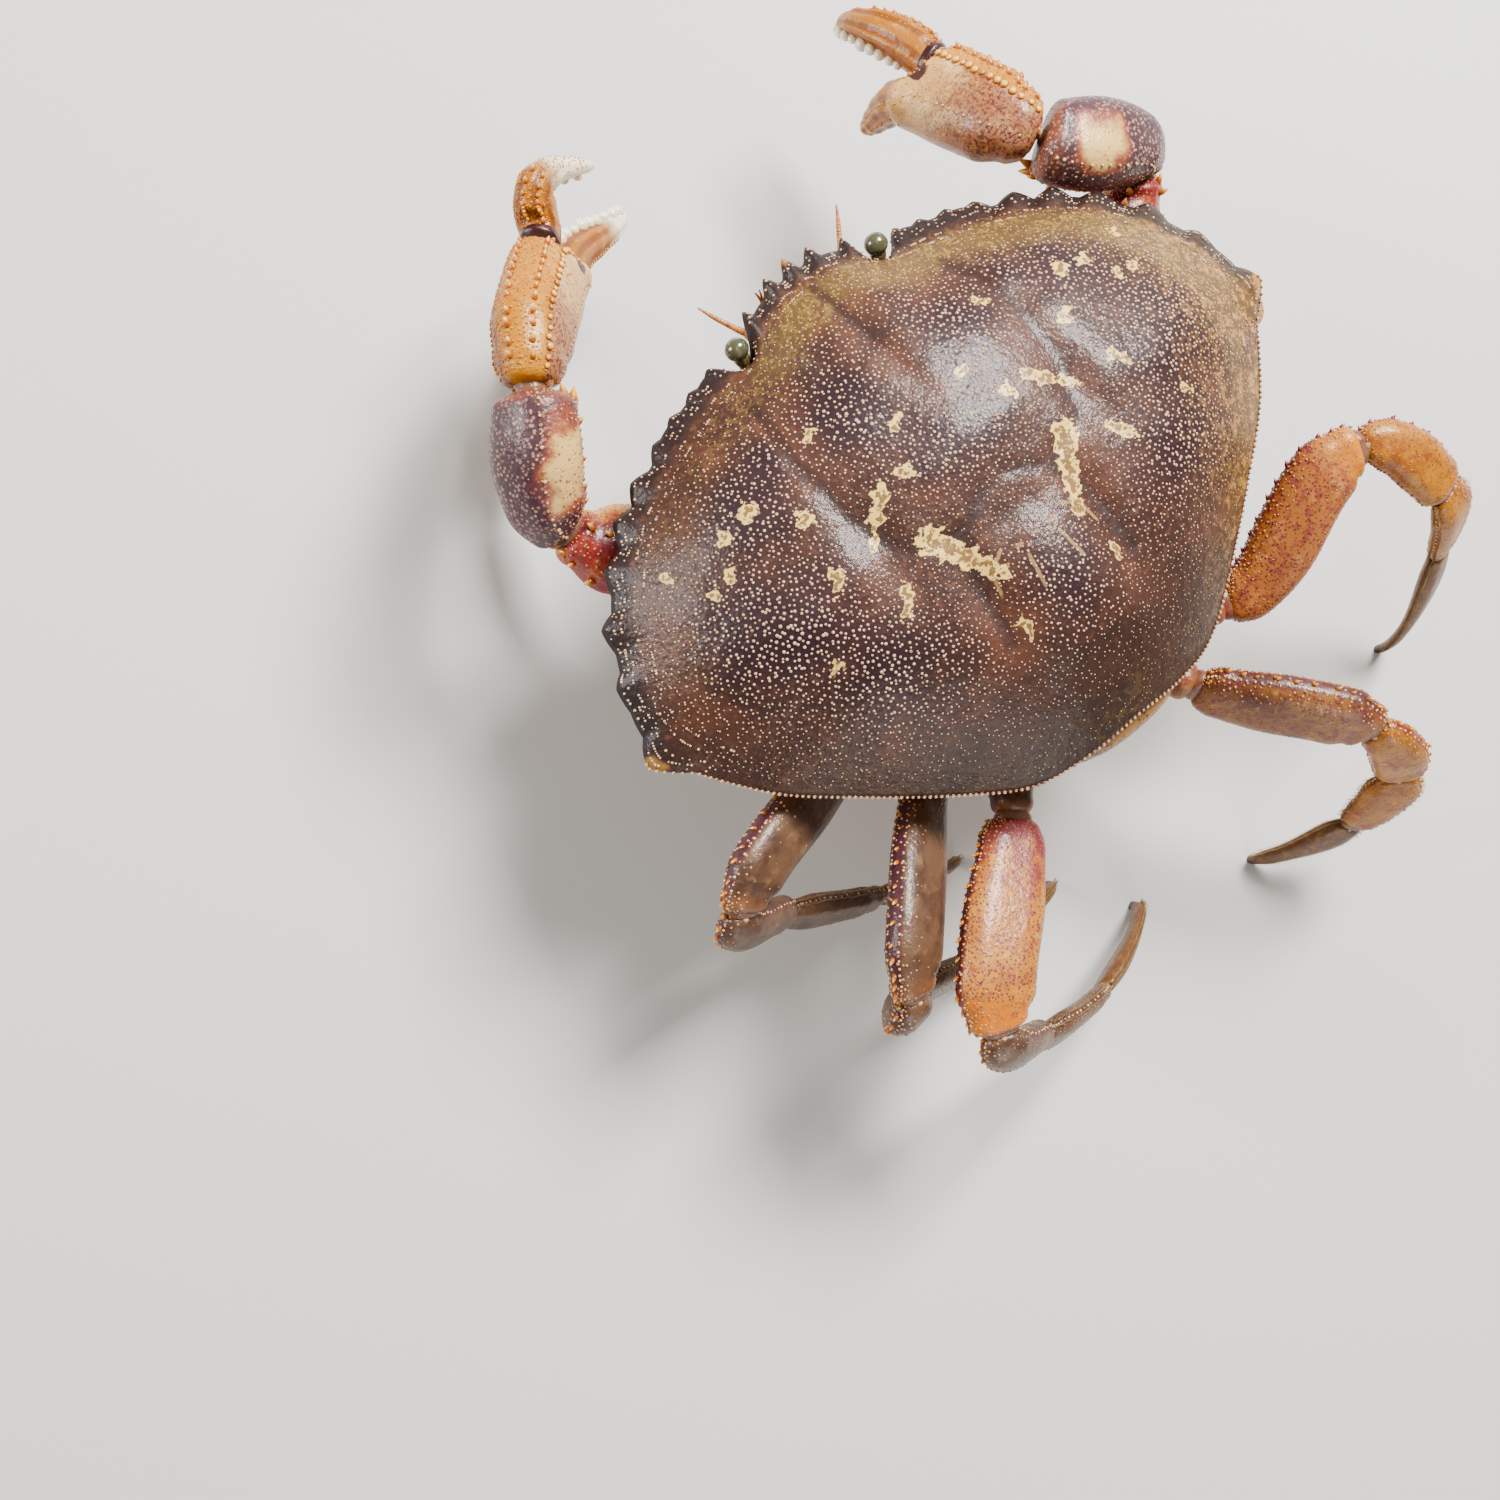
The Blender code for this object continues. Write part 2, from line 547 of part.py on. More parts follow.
def build_walking_leg(name, number, sign, collection):
    """Build the five segments of one walking leg down to its flat tip on the floor."""
    hip_place, hip_normal = hip(number, sign)
    pair = name.split("_")[0]
    points = [hip_place] + [np.array(p, float) for p in LIMB_JOINTS[name]]
    normals = joint_normals(hip_normal, points, np.array([0.0, 0.0, -1.0]))
    sizes = [HIP_SIZE] + LEG_SIZES[pair]
    points[-1] = points[-1] + np.array([0.0, 0.0, -GAP / 2])
    foot = 2 * FOOT_RADIUS
    chance = np.random.default_rng(SEED + number)
    up = LIMB_UP[name]
    for index, segment in enumerate(LEG_SEGMENTS):
        size = sizes[index]
        shape = [BASE_SHAPE, MERUS_SHAPE, CARPUS_SHAPE, PROPODUS_SHAPE, None][index]
        places = [0.0, 0.12, 0.45, 0.8, 1.0] if segment == "merus" else [0.0, 0.3, 0.65, 0.88, 1.0]
        if segment == "dactyl":
            shape = [(0.0, 0.8, 0.85), (0.2, 1.0, 1.0), (0.7, 0.6, 0.62), (1.0, foot / size[0], foot / size[1])]
            places = [0.0, 0.2, 0.45, 0.7, 0.88, 1.0]
        vertices, faces, up = limb_segment(points[index], points[index + 1], normals[index],
                                           normals[index + 1], up, size, shape, places)
        solid = add_solid(f"{name}_{segment}", vertices, faces, "limb", collection)
        rows = {"merus": MERUS_ROWS, "carpus": CARPUS_ROWS, "propodus": PROPODUS_ROWS}.get(segment)
        if rows:
            fuse(solid, row_of_spines(vertices.reshape(len(places), -1, 3), rows, 0.02, LEG_SPINE, 0.5, chance))


def build_cheliped(side, sign, collection):
    """Build one claw limb: base, merus, carpus, palm with its fixed finger, and moving finger."""
    name = f"cheliped_{side}"
    claw = CLAWS[side]
    hip_place, hip_normal = hip(0, sign)
    palm_end = np.array(claw["palm_end"], float)
    points = [hip_place] + [np.array(p, float) for p in LIMB_JOINTS[name]] + [palm_end]
    axis = unit(palm_end - points[-2])
    normals = joint_normals(hip_normal, points, axis)
    shapes = [BASE_SHAPE, ARM_MERUS_SHAPE, CARPUS_SHAPE]
    inner = -sign
    chance = np.random.default_rng(SEED)
    up = LIMB_UP[name]
    for index, segment in enumerate(["base", "merus", "carpus"]):
        places = [0.0, 0.15, 0.4, 0.65, 0.86, 1.0]
        vertices, faces, up = limb_segment(points[index], points[index + 1], normals[index],
                                           normals[index + 1], up, CHELIPED_SIZES[index],
                                           shapes[index], places, 12)
        solid = add_solid(f"{name}_{segment}", vertices, faces, "limb", collection)
        rings = vertices.reshape(len(places), -1, 3)
        if segment == "merus":
            place, around = ARM_JOINT_SPINE[segment]
            fuse(solid, row_of_spines(rings, [place], around, JOINT_SPINE, 0.3, chance)
                 + row_of_spines(rings, ARM_MERUS_ROWS, 0.0, CREST_SPINE, 0.3, chance))
        if segment == "carpus":
            place, around = ARM_JOINT_SPINE[segment]
            spread = inner * ARM_CARPUS_SPREAD
            fuse(solid, row_of_spines(rings, [place], inner * around, JOINT_SPINE, 0.8, chance)
                 + row_of_spines(rings, ARM_CARPUS_INNER_ROWS, spread, CREST_SPINE, 0.4, chance)
                 + row_of_spines(rings, ARM_CARPUS_OUTER_ROWS, -spread, CREST_SPINE, 0.4, chance))
    build_palm(name, points[-2], normals[-2], claw, collection)


def build_palm(name, wrist, wrist_normal, claw, collection):
    """Build the palm, whose lower half runs on into the fixed finger, and the moving finger."""
    palm_end = np.array(claw["palm_end"], float)
    axis = unit(palm_end - wrist)
    up = unit(claw["up"] - np.dot(claw["up"], axis) * axis)
    length = np.linalg.norm(palm_end - wrist)
    start = wrist + wrist_normal * GAP / 2
    centres, slopes = hermite(start, palm_end, wrist_normal * length, axis * length, PALM_PLACES)
    tip = np.array(claw["fixed_tip"], float)
    root = palm_end - up * HINGE_RISE
    reach = np.linalg.norm(tip - root)
    finger, finger_slopes = hermite(root, tip, axis * reach, unit(tip - root + up * 6.0) * reach, FIXED_PLACES)
    slopes = np.concatenate([slopes, finger_slopes])
    vertices, faces = loft(np.concatenate([centres, finger]), slopes, carry_up(up, slopes),
                           PALM_HEIGHTS + FIXED_HEIGHTS, PALM_WIDTHS + FIXED_HEIGHTS, 12)
    palm = add_solid(f"{name}_palm", vertices, faces, "claw", collection)
    rings = vertices.reshape(len(slopes), -1, 3)
    chance = np.random.default_rng(SEED)
    fuse(palm, row_of_spines(rings, CREST_ROWS, CREST_SPREAD, CREST_SPINE, 0.4, chance)
         + row_of_spines(rings, CREST_ROWS, -CREST_SPREAD, CREST_SPINE, 0.4, chance)
         + row_of_spines(rings, FIXED_BITE_ROWS, 0.0, BITE_TOOTH, 0.0, chance))
    root = palm_end + up * HINGE_RISE + axis * GAP
    bow = np.array(claw["moving_bow"], float)
    tip = np.array(claw["moving_tip"], float)
    t = np.array(MOVING_PLACES)[:, None]
    first = root + axis * 8.0 + up * 3.0
    second = (8 * bow - root - 3 * first - tip) / 3
    centres = ((1 - t)**3 * root + 3 * t * (1 - t)**2 * first + 3 * t**2 * (1 - t) * second + t**3 * tip)
    slopes = ((1 - t)**2 * (first - root) + 2 * t * (1 - t) * (second - first) + t**2 * (tip - second))
    turn = np.clip(t / 0.4, 0.0, 1.0)
    slopes = axis * (1 - turn) + turn * slopes / np.linalg.norm(slopes, axis=1)[:, None]
    heights = np.array(MOVING_HEIGHTS)
    vertices, faces = loft(centres, slopes, carry_up(up, slopes), heights, heights * 0.9, 12)
    finger = add_solid(f"{name}_dactyl", vertices, faces, "claw", collection)
    rings = vertices.reshape(len(heights), -1, 3)
    fuse(finger, row_of_spines(rings, FINGER_ROWS, CREST_SPREAD, CREST_SPINE, 0.4, chance)
         + row_of_spines(rings, FINGER_ROWS, -CREST_SPREAD, CREST_SPINE, 0.4, chance)
         + row_of_spines(rings, MOVING_BITE_ROWS, 0.5, BITE_TOOTH, 0.0, chance))


def build_abdomen(collection):
    """Build the narrow abdomen that is folded from the shell's rear under the sternum."""
    path = np.array(ABDOMEN_PATH, float)
    centres = np.stack([np.zeros(len(path)), path[:, 0], path[:, 1]], 1)
    slopes = np.gradient(centres, axis=0)
    outward = np.stack([np.zeros(len(path)), -slopes[:, 2], slopes[:, 1]], 1)
    outward /= np.linalg.norm(outward, axis=1)[:, None]
    vertices, faces = loft(centres, slopes, outward, path[:, 3], path[:, 2] * 2, 12)
    add_solid("abdomen", vertices, faces, "under", collection)


def build_eye(side, sign, collection):
    """Build one eye: a bent stalk out of the orbit with a round glossy end."""
    mirror = np.array([sign, 1.0, 1.0])
    centre = np.array(EYE_CENTRE) * mirror
    axis = unit(np.array(EYE_FACING) * mirror)
    forward = np.array([0.0, -1.0, 0.0])
    places = np.linspace(0.0, 1.0, len(EYE_STALK))
    points, slopes = hermite(np.array(EYE_ROOT) * mirror + forward * GAP, centre - axis * EYE_RADIUS / 2,
                             forward * EYE_PULL, axis * EYE_PULL, places)
    ball = np.array(EYE_BALL) * EYE_RADIUS
    points = np.concatenate([points, centre + np.outer(ball[:, 0], axis)])
    slopes = np.concatenate([slopes, np.tile(axis, (len(ball), 1))])
    sizes = np.concatenate([EYE_STALK, ball[:, 1]])
    vertices, faces = loft(points, slopes, carry_up(np.array([0.0, 0.0, 1.0]), slopes), sizes, sizes)
    add_solid(f"eye_{side}", vertices, faces, "eye", collection)


def build_antenna(side, sign, collection):
    """Build one antenna: a stout base under the front edge and a short thin whip."""
    mirror = np.array([sign, 1.0, 1.0])
    facing = unit(np.array(ANTENNA_FACING) * mirror)
    centres, slopes = hermite(np.array(ANTENNA_ROOT) * mirror + facing * GAP, np.array(ANTENNA_TIP) * mirror,
                              facing * ANTENNA_PULL, np.array(ANTENNA_TIP_PULL) * mirror, ANTENNA_PLACES)
    vertices, faces = loft(centres, slopes, carry_up(np.array([0.0, 0.0, 1.0]), slopes), ANTENNA_SIZES,
                           ANTENNA_SIZES, 8)
    add_solid(f"antenna_{side}", vertices, faces, "limb", collection)


def build_maxilliped(side, sign, collection):
    """Build one outer mouth plate, which closes its half of the mouth down to the sternum."""
    path = np.array(MAXILLIPED_PATH)
    centres = np.stack([sign * (path[:, 2] / 2 + GAP), path[:, 0], path[:, 1]], 1)
    slopes = np.gradient(centres * (0.0, 1.0, 1.0), axis=0)
    outward = np.stack([np.full(len(path), sign * MAXILLIPED_TURN), slopes[:, 2], -slopes[:, 1]], 1)
    length = np.linalg.norm(slopes, axis=1)
    outward[:, 1:] /= length[:, None]
    tops = [unit(row) for row in outward]
    vertices, faces = loft(centres, slopes, tops, path[:, 3], path[:, 2])
    add_solid(f"maxilliped_{side}", vertices, faces, "under", collection)


def main():
    """Clear the scene and build every node of the crab."""
    for leftover in list(bpy.data.objects):
        bpy.data.objects.remove(leftover, do_unlink=True)
    collection = bpy.data.collections.new("dungeness_crab")
    bpy.context.scene.collection.children.link(collection)
    build_shell(collection)
    build_sternum(collection)
    build_abdomen(collection)
    for side, sign in (("left", 1.0), ("right", -1.0)):
        build_eye(side, sign, collection)
        build_antenna(side, sign, collection)
        build_maxilliped(side, sign, collection)
        build_cheliped(side, sign, collection)
        for number in (1, 2, 3, 4):
            build_walking_leg(f"leg{number}_{side}", number, sign, collection)


main()
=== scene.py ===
"""Looks of a life-size Dungeness crab that stands on the tips of its eight walking legs.

Places and sizes are millimetres in the crab's own frame, whose origin is the middle of the shell's
widest line: +X is the crab's left, -Y its front, +Z up. `to_world` carries them to the part's frame.
Each surface is a grid of rings and columns, worked out with whole arrays, and its vertices carry
values such as the place along a limb, which the finishes read.
"""

import logging
import math
from dataclasses import dataclass, field, replace
from enum import Enum

import bpy
import numpy as np
from mathutils import Matrix


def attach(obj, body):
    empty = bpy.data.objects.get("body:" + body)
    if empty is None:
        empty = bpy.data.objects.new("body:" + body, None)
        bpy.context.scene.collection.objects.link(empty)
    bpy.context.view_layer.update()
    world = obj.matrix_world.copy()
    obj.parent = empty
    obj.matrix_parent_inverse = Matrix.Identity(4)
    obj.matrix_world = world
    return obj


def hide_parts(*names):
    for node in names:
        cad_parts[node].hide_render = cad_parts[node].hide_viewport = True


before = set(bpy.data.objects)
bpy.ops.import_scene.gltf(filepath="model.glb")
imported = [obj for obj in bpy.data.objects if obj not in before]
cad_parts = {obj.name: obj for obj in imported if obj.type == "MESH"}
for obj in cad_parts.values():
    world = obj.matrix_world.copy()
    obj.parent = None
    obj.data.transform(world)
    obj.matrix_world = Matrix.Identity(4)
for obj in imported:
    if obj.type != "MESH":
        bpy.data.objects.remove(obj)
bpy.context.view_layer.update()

Array = np.ndarray
Draw = np.random.Generator
Point = tuple[float, float, float]
Tree = bpy.types.NodeTree
Node = bpy.types.Node
Socket = bpy.types.NodeSocket
LOG = logging.getLogger("crab")
# Where the crab's own frame stands in the part's frame
BODY_PLACE = (4.4, -3.5, 70.0)
MM = 0.001
SEED = 23
UP = np.array([0.0, 0.0, 1.0])


def to_world(points: Array) -> Array:
    """Carry points in the crab's millimetres to metres in the part's frame."""
    return (np.asarray(points, float) + BODY_PLACE) * MM


def unit(vectors: Array) -> Array:
    """Return vectors at length one along the last axis."""
    vectors = np.asarray(vectors, float)
    return vectors / np.maximum(np.linalg.norm(vectors, axis=-1, keepdims=True), 1e-12)


def ease(values: Array, low: float, high: float) -> Array:
    """Rise smoothly from 0 at low to 1 at high."""
    share = np.clip((np.asarray(values, float) - low) / (high - low), 0.0, 1.0)
    return share * share * (3.0 - 2.0 * share)


def turn_of(columns: int) -> Array:
    """Return the angles of a ring's columns, from 0 at its upper edge."""
    return np.arange(columns) / columns * 2 * math.pi


def on_columns(values: Array, columns: int) -> Array:
    """Repeat one value a ring over the ring's columns."""
    return np.repeat(values[:, None], columns, 1)


def boxed(waves: Array, power: float) -> Array:
    """Raise sines or cosines to a power and keep their sign, which squares a round section."""
    return np.sign(waves) * np.abs(waves)**power


def run_along(points: Array) -> Array:
    """Return the length of a line up to each of its points."""
    return np.concatenate([[0.0], np.cumsum(np.linalg.norm(np.diff(points, axis=0), axis=1))])


def from_line(x: Array, y: Array, start: tuple[float, float], end: tuple[float, float]) -> Array:
    """Return the distance in a plane from a straight line between two ends.

    Args:
        x, y: the points' coordinates in the plane.
        start, end: the ends of the line.

    Returns:
        The distance of each point.
    """
    dx, dy = end[0] - start[0], end[1] - start[1]
    run = np.clip(((x - start[0]) * dx + (y - start[1]) * dy) / (dx * dx + dy * dy), 0.0, 1.0)
    return np.hypot(x - start[0] - run * dx, y - start[1] - run * dy)


def smooth_table(table: list | tuple, places: Array) -> Array:
    """Read the columns of a table at other places, eased between its rows.

    Args:
        table: rows that start with their place, in rising order.
        places: where to read it.

    Returns:
        A row of values for each place.
    """
    rows = np.asarray(table, float)
    index = np.clip(np.searchsorted(rows[:, 0], places, side="right") - 1, 0, len(rows) - 2)
    eased = ease((places - rows[index, 0]) / (rows[index + 1, 0] - rows[index, 0]), 0.0, 1.0)[:, None]
    return rows[index, 1:] * (1.0 - eased) + rows[index + 1, 1:] * eased


def hermite(start: Array, end: Array, start_pull: Array, end_pull: Array, t: Array) -> tuple[Array, Array]:
    """Run a cubic curve between two ends.

    Args:
        start, end: where it starts and ends.
        start_pull, end_pull: its directions there, longer for a stronger pull.
        t: shares of the curve.

    Returns:
        Points and slopes at those shares.
    """
    t = np.asarray(t, float)[:, None]
    points = ((2 * t**3 - 3 * t**2 + 1) * start + (t**3 - 2 * t**2 + t) * start_pull
              + (3 * t**2 - 2 * t**3) * end + (t**3 - t**2) * end_pull)
    slopes = ((6 * t**2 - 6 * t) * start + (3 * t**2 - 4 * t + 1) * start_pull
              + (6 * t - 6 * t**2) * end + (3 * t**2 - 2 * t) * end_pull)
    return points, slopes


def bezier(a: Array, b: Array, c: Array, d: Array, t: Array) -> Array:
    """Return points on the cubic curve that leaves a toward b and reaches d from c."""
    return (1 - t)**3 * a + 3 * t * (1 - t)**2 * b + 3 * t**2 * (1 - t) * c + t**3 * d


def carry_up(up: Array, slopes: Array) -> tuple[Array, Array]:
    """Carry an upward direction along a path so that its rings don't twist.

    Args:
        up: the direction at the start.
        slopes: the path's slopes.

    Returns:
        The directions up and sideways, square to each slope.
    """
    ahead, tops = unit(slopes), []
    for slope in ahead:
        up = unit(up - np.dot(up, slope) * slope)
        tops.append(up)
    return np.array(tops), np.cross(ahead, tops)


def closed_curve(points: Array, per_span: int) -> Array:
    """Pass a smooth closed line through points: a cubic in each span, by its four nearest points.

    Args:
        points: what it passes through.
        per_span: the steps in each span.

    Returns:
        The points of the line.
    """
    before, after, later = np.roll(points, 1, 0), np.roll(points, -1, 0), np.roll(points, -2, 0)
    spans = [0.5 * (2 * points + (after - before) * t + (2 * before - 5 * points + 4 * after - later) * t**2
                    + (3 * points - before - 3 * after + later) * t**3)
             for t in np.arange(per_span) / per_span]
    return np.stack(spans, 1).reshape(-1, 3)


def even_steps(line: Array, count: int) -> Array:
    """Set points at even distances along a closed line.

    Args:
        line: its points.
        count: how many are wanted.

    Returns:
        The new points.
    """
    whole = np.concatenate([line, line[:1]])
    run = run_along(whole)
    places = np.arange(count) / count * run[-1]
    return np.stack([np.interp(places, run, whole[:, axis]) for axis in range(3)], 1)


@dataclass
class Shape:
    """A closed surface, or several, in the crab's millimetres, with named values at its vertices."""

    vertices: Array
    quads: Array
    triangles: Array
    values: dict[str, Array] = field(default_factory=dict)

    def outward(self) -> "Shape":
        """Turn the faces over if they enclose a negative volume.

        Returns:
            The same shape, faces outward.
        """
        corners = np.concatenate([self.quads[:, [0, 1, 2]], self.quads[:, [0, 2, 3]], self.triangles])
        a, b, c = (self.vertices[corners[:, i]] - self.vertices[0] for i in range(3))
        if np.einsum("ij,ij->", a, np.cross(b, c)) < 0:
            self.quads = self.quads[:, ::-1]
            self.triangles = self.triangles[:, ::-1]
        return self


def join(shapes: list[Shape]) -> Shape:
    """Gather shapes into one, keeping the values that all of them have.

    Args:
        shapes: the shapes, in order.

    Returns:
        One shape with all their surfaces.
    """
    starts = np.cumsum([0] + [len(s.vertices) for s in shapes[:-1]])
    names = set.intersection(*(set(s.values) for s in shapes))
    return Shape(np.concatenate([s.vertices for s in shapes]),
                 np.concatenate([s.quads + n for s, n in zip(shapes, starts)]),
                 np.concatenate([s.triangles + n for s, n in zip(shapes, starts)]),
                 {name: np.concatenate([s.values[name] for s in shapes]) for name in sorted(names)})


def sweep(centres: Array, tops: Array, sides: Array, high: Array, wide: Array) -> Array:
    """Set a section at each place of a path: place + high * top + wide * side.

    Args:
        centres: places on the path.
        tops, sides: the directions of the section's height and width at each place.
        high, wide: heights and widths as (place, column).

    Returns:
        Rings of points as (place, column, axis).
    """
    return centres[:, None] + high[..., None] * tops[:, None] + wide[..., None] * sides[:, None]


def skin_over(rings: Array, values: dict[str, Array] | None = None, last: Array | None = None) -> Shape:
    """Cover a stack of closed rings with quads and close both ends with fans.

    Args:
        rings: points as (ring, column, axis).
        values: named values as (ring, column).
        last: the point that closes the last ring, or its middle if none.

    Returns:
        The closed surface, faces outward.
    """
    count, columns = rings.shape[:2]
    near = np.arange(columns)
    far = (near + 1) % columns
    base = (np.arange(count - 1) * columns)[:, None]
    above = base + columns
    quads = np.stack([base + near, base + far, above + far, above + near], -1).reshape(-1, 4)
    middle = count * columns
    top = middle - columns
    triangles = np.concatenate([np.stack([np.full(columns, middle), far, near], 1),
                                np.stack([np.full(columns, middle + 1), top + near, top + far], 1)])
    end = rings[-1].mean(0) if last is None else last
    vertices = np.concatenate([rings.reshape(-1, 3), rings[:1].mean(1), end[None]])
    carried = {name: np.concatenate([v.reshape(-1), v[0].mean(keepdims=True), v[-1].mean(keepdims=True)])
               for name, v in (values or {}).items()}
    return Shape(vertices, quads, triangles, carried).outward()


def turned(radii: list[float], heights: list[float], sides: int, top: float, bend: float = 0.0) -> Shape:
    """Turn a small profile round its own Z axis, bent toward its own X axis as it rises.

    Args:
        radii, heights: the profile's half widths and their heights, from its root up.
        sides: the count of its sides.
        top: the height of its tip.
        bend: how far it leans at height one; it grows with the square of the height.

    Returns:
        The closed shape, with its height as the value "rise".
    """
    angles = turn_of(sides)
    radii, heights = np.array(radii)[:, None], np.array(heights)[:, None]
    lean = bend * np.maximum(heights, 0.0)**2
    rings = np.stack([radii * np.cos(angles) + lean, radii * np.sin(angles), heights + 0 * angles], -1)
    rise = np.repeat(np.clip(heights, 0, 1), sides, 1)
    return skin_over(rings, {"rise": rise}, np.array([bend * top**2, 0.0, top]))


BEAD = turned([1.0, 0.72], [-0.35, 0.5], 6, 0.82)
ROUND_BEAD = turned([0.9, 1.0, 0.62], [-0.5, 0.2, 0.8], 7, 1.0)
SPINE = turned([1.0, 0.74, 0.42, 0.16], [-0.4, 0.3, 0.7, 0.95], 9, 1.05, 0.35)
BITE = turned([0.94, 1.04, 1.0, 0.82, 0.56, 0.26], [-0.6, 0.0, 0.35, 0.66, 0.86, 0.97], 14, 1.02)
HAIR = turned([1.0, 0.6], [-0.1, 0.6], 3, 1.0, 0.3)


def repeat(template: Shape, points: Array, outward: Array, along: Array, sizes: Array,
           rng: Draw) -> Shape:
    """Set copies of a small shape on a surface, as one shape.

    Args:
        template: the small shape, standing on its own Z axis.
        points: where the copies stand.
        outward: the direction that each one points in.
        along: the direction that each one's X axis leans to.
        sizes: half widths along X and Y, and heights.
        rng: the random source.

    Returns:
        All copies in one shape, with a value "tint" for each.
    """
    z = unit(outward)
    x = unit(along - np.sum(along * z, -1, keepdims=True) * z)
    axes = np.stack([x, np.cross(z, x), z], 1)
    vertices = points[:, None] + np.einsum("nvi,nij->nvj", template.vertices[None] * sizes[:, None], axes)
    count, size = len(points), len(template.vertices)
    starts = (np.arange(count) * size)[:, None, None]
    tint = np.repeat(rng.random(count), size)
    return Shape(vertices.reshape(-1, 3), (template.quads[None] + starts).reshape(-1, 4),
                 (template.triangles[None] + starts).reshape(-1, 3),
                 {"tint": tint, "rise": np.tile(template.values["rise"], count)})


@dataclass
class Skin:
    """A stack of rings that small shapes can be set on."""

    rings: Array

    def at(self, along: Array, around: Array) -> tuple[Array, Array, Array]:
        """Read the surface at shares of its length and of a turn.

        Args:
            along: shares of the length, 0 to 1.
            around: shares of a turn, 0 at the upper edge.

        Returns:
            Points, outward directions and directions along the limb.
        """
        along, around = np.broadcast_arrays(np.asarray(along, float), np.asarray(around, float))
        count, columns = self.rings.shape[:2]
        row = np.clip(along, 0.0, 1.0) * (count - 1)
        low = np.minimum(row.astype(int), count - 2)
        f = (row - low)[..., None]
        column = (around % 1.0) * columns
        left = column.astype(int) % columns
        g = (column - column.astype(int))[..., None]
        right = (left + 1) % columns
        a, b = self.rings[low, left], self.rings[low, right]
        c, d = self.rings[low + 1, left], self.rings[low + 1, right]
        point = (a * (1 - g) + b * g) * (1 - f) + (c * (1 - g) + d * g) * f
        forward = unit((c - a) * (1 - g) + (d - b) * g)
        out = unit(np.cross(forward, (b - a) * (1 - f) + (d - c) * f))
        centre = self.rings.mean(1)
        away = point - (centre[low] * (1 - f) + centre[low + 1] * f)
        return point, out * np.sign(np.sum(out * away, -1, keepdims=True)), forward

    def spread(self, spacing: float, rng: Draw, span: tuple[float, float] = (0.04, 0.96)
               ) -> tuple[Array, Array]:
        """Return places along and around that cover the surface in jittered rows.

        Args:
            spacing: the distance between neighbours in millimetres.
            rng: the random source.
            span: the covered share of the length.

        Returns:
            Shares along and around for each place.
        """
        centre = self.rings.mean(1)
        length = np.linalg.norm(np.diff(centre, axis=0), axis=1).sum() * (span[1] - span[0])
        girth = np.linalg.norm(self.rings - centre[:, None], axis=2).mean() * 2 * math.pi
        rows, columns = max(2, int(length / spacing)), max(6, int(girth / spacing))
        a, b = np.meshgrid(np.arange(rows), np.arange(columns), indexing="ij")
        along = span[0] + (span[1] - span[0]) * (a + 0.5 + rng.uniform(-0.32, 0.32, a.shape)) / rows
        around = (b + 0.5 * (a % 2) + rng.uniform(-0.32, 0.32, a.shape)) / columns
        return along.ravel(), around.ravel()


class Slot(Enum):
    """The record's material slots."""

    SHELL = "shell"
    LIMB = "limb"
    CLAW = "claw"
    UNDER = "under"
    EYE = "eye"


def show(name: str, shape: Shape, finish: "Finish", slot: Slot, *nodes: str) -> bpy.types.Object:
    """Make a smooth mesh of a shape, dress it, hang it on the body's root and hide the CAD parts that it
    replaces.

    Args:
        name: the piece's name.
        shape: its surface in the crab's millimetres.
        finish: what it is dressed in.
        slot: the record's slot that the finish belongs to; not used.
        nodes: the CAD nodes that it replaces.

    Returns:
        The new object, at the origin.
    """
    mesh = bpy.data.meshes.new(name)
    sides = np.concatenate([np.full(len(shape.quads), 4), np.full(len(shape.triangles), 3)])
    corners = np.concatenate([shape.quads.ravel(), shape.triangles.ravel()])
    mesh.vertices.add(len(shape.vertices))
    mesh.vertices.foreach_set("co", to_world(shape.vertices).ravel())
    mesh.loops.add(len(corners))
    mesh.loops.foreach_set("vertex_index", corners.astype(np.int32))
    mesh.polygons.add(len(sides))
    mesh.polygons.foreach_set("loop_start", np.concatenate([[0], np.cumsum(sides)[:-1]]).astype(np.int32))
    mesh.update(calc_edges=True)
    mesh.validate()
    mesh.shade_smooth()
    for key, values in shape.values.items():
        layer = mesh.attributes.new(key, "FLOAT", "POINT")
        layer.data.foreach_set("value", values.astype(np.float32))
    piece = bpy.data.objects.new(name, mesh)
    bpy.context.scene.collection.objects.link(piece)
    mesh.materials.append(finish.material())
    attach(piece, "root")
    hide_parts(*nodes)
    LOG.info("%s: %d triangles", name, 2 * len(shape.quads) + len(shape.triangles))
    return piece


def linear(code: str) -> tuple[float, float, float, float]:
    """Turn an sRGB hex colour into linear values.

    Args:
        code: the colour as #rrggbb.

    Returns:
        Linear red, green, blue and alpha.
    """
    parts = [int(code[i:i + 2], 16) / 255 for i in (1, 3, 5)]
    red, green, blue = (p / 12.92 if p <= 0.04045 else ((p + 0.055) / 1.055)**2.4 for p in parts)
    return red, green, blue, 1.0


def add_node(tree: Tree, kind: str, inputs: dict, **settings: object) -> Node:
    """Add a shader node, set its options, and link or set its inputs.

    Args:
        tree: the material's node tree.
        kind: the node's type, without the words ShaderNode before it.
        inputs: a socket or value for each input's name or index.
        settings: options of the node itself.

    Returns:
        The new node.
    """
    made = tree.nodes.new("ShaderNode" + kind)
    for key, value in settings.items():
        setattr(made, key, value)
    for key, value in inputs.items():
        if isinstance(value, Socket):
            tree.links.new(value, made.inputs[key])
        else:
            made.inputs[key].default_value = value
    return made


class Source(Enum):
    """What a colour layer follows."""

    NOISE = "noise"
    CELLS = "cells"
    THREADS = "threads"
    SPECKS = "specks"
    VALUE = "value"


NOISE, CELLS, THREADS, SPECKS, VALUE = Source
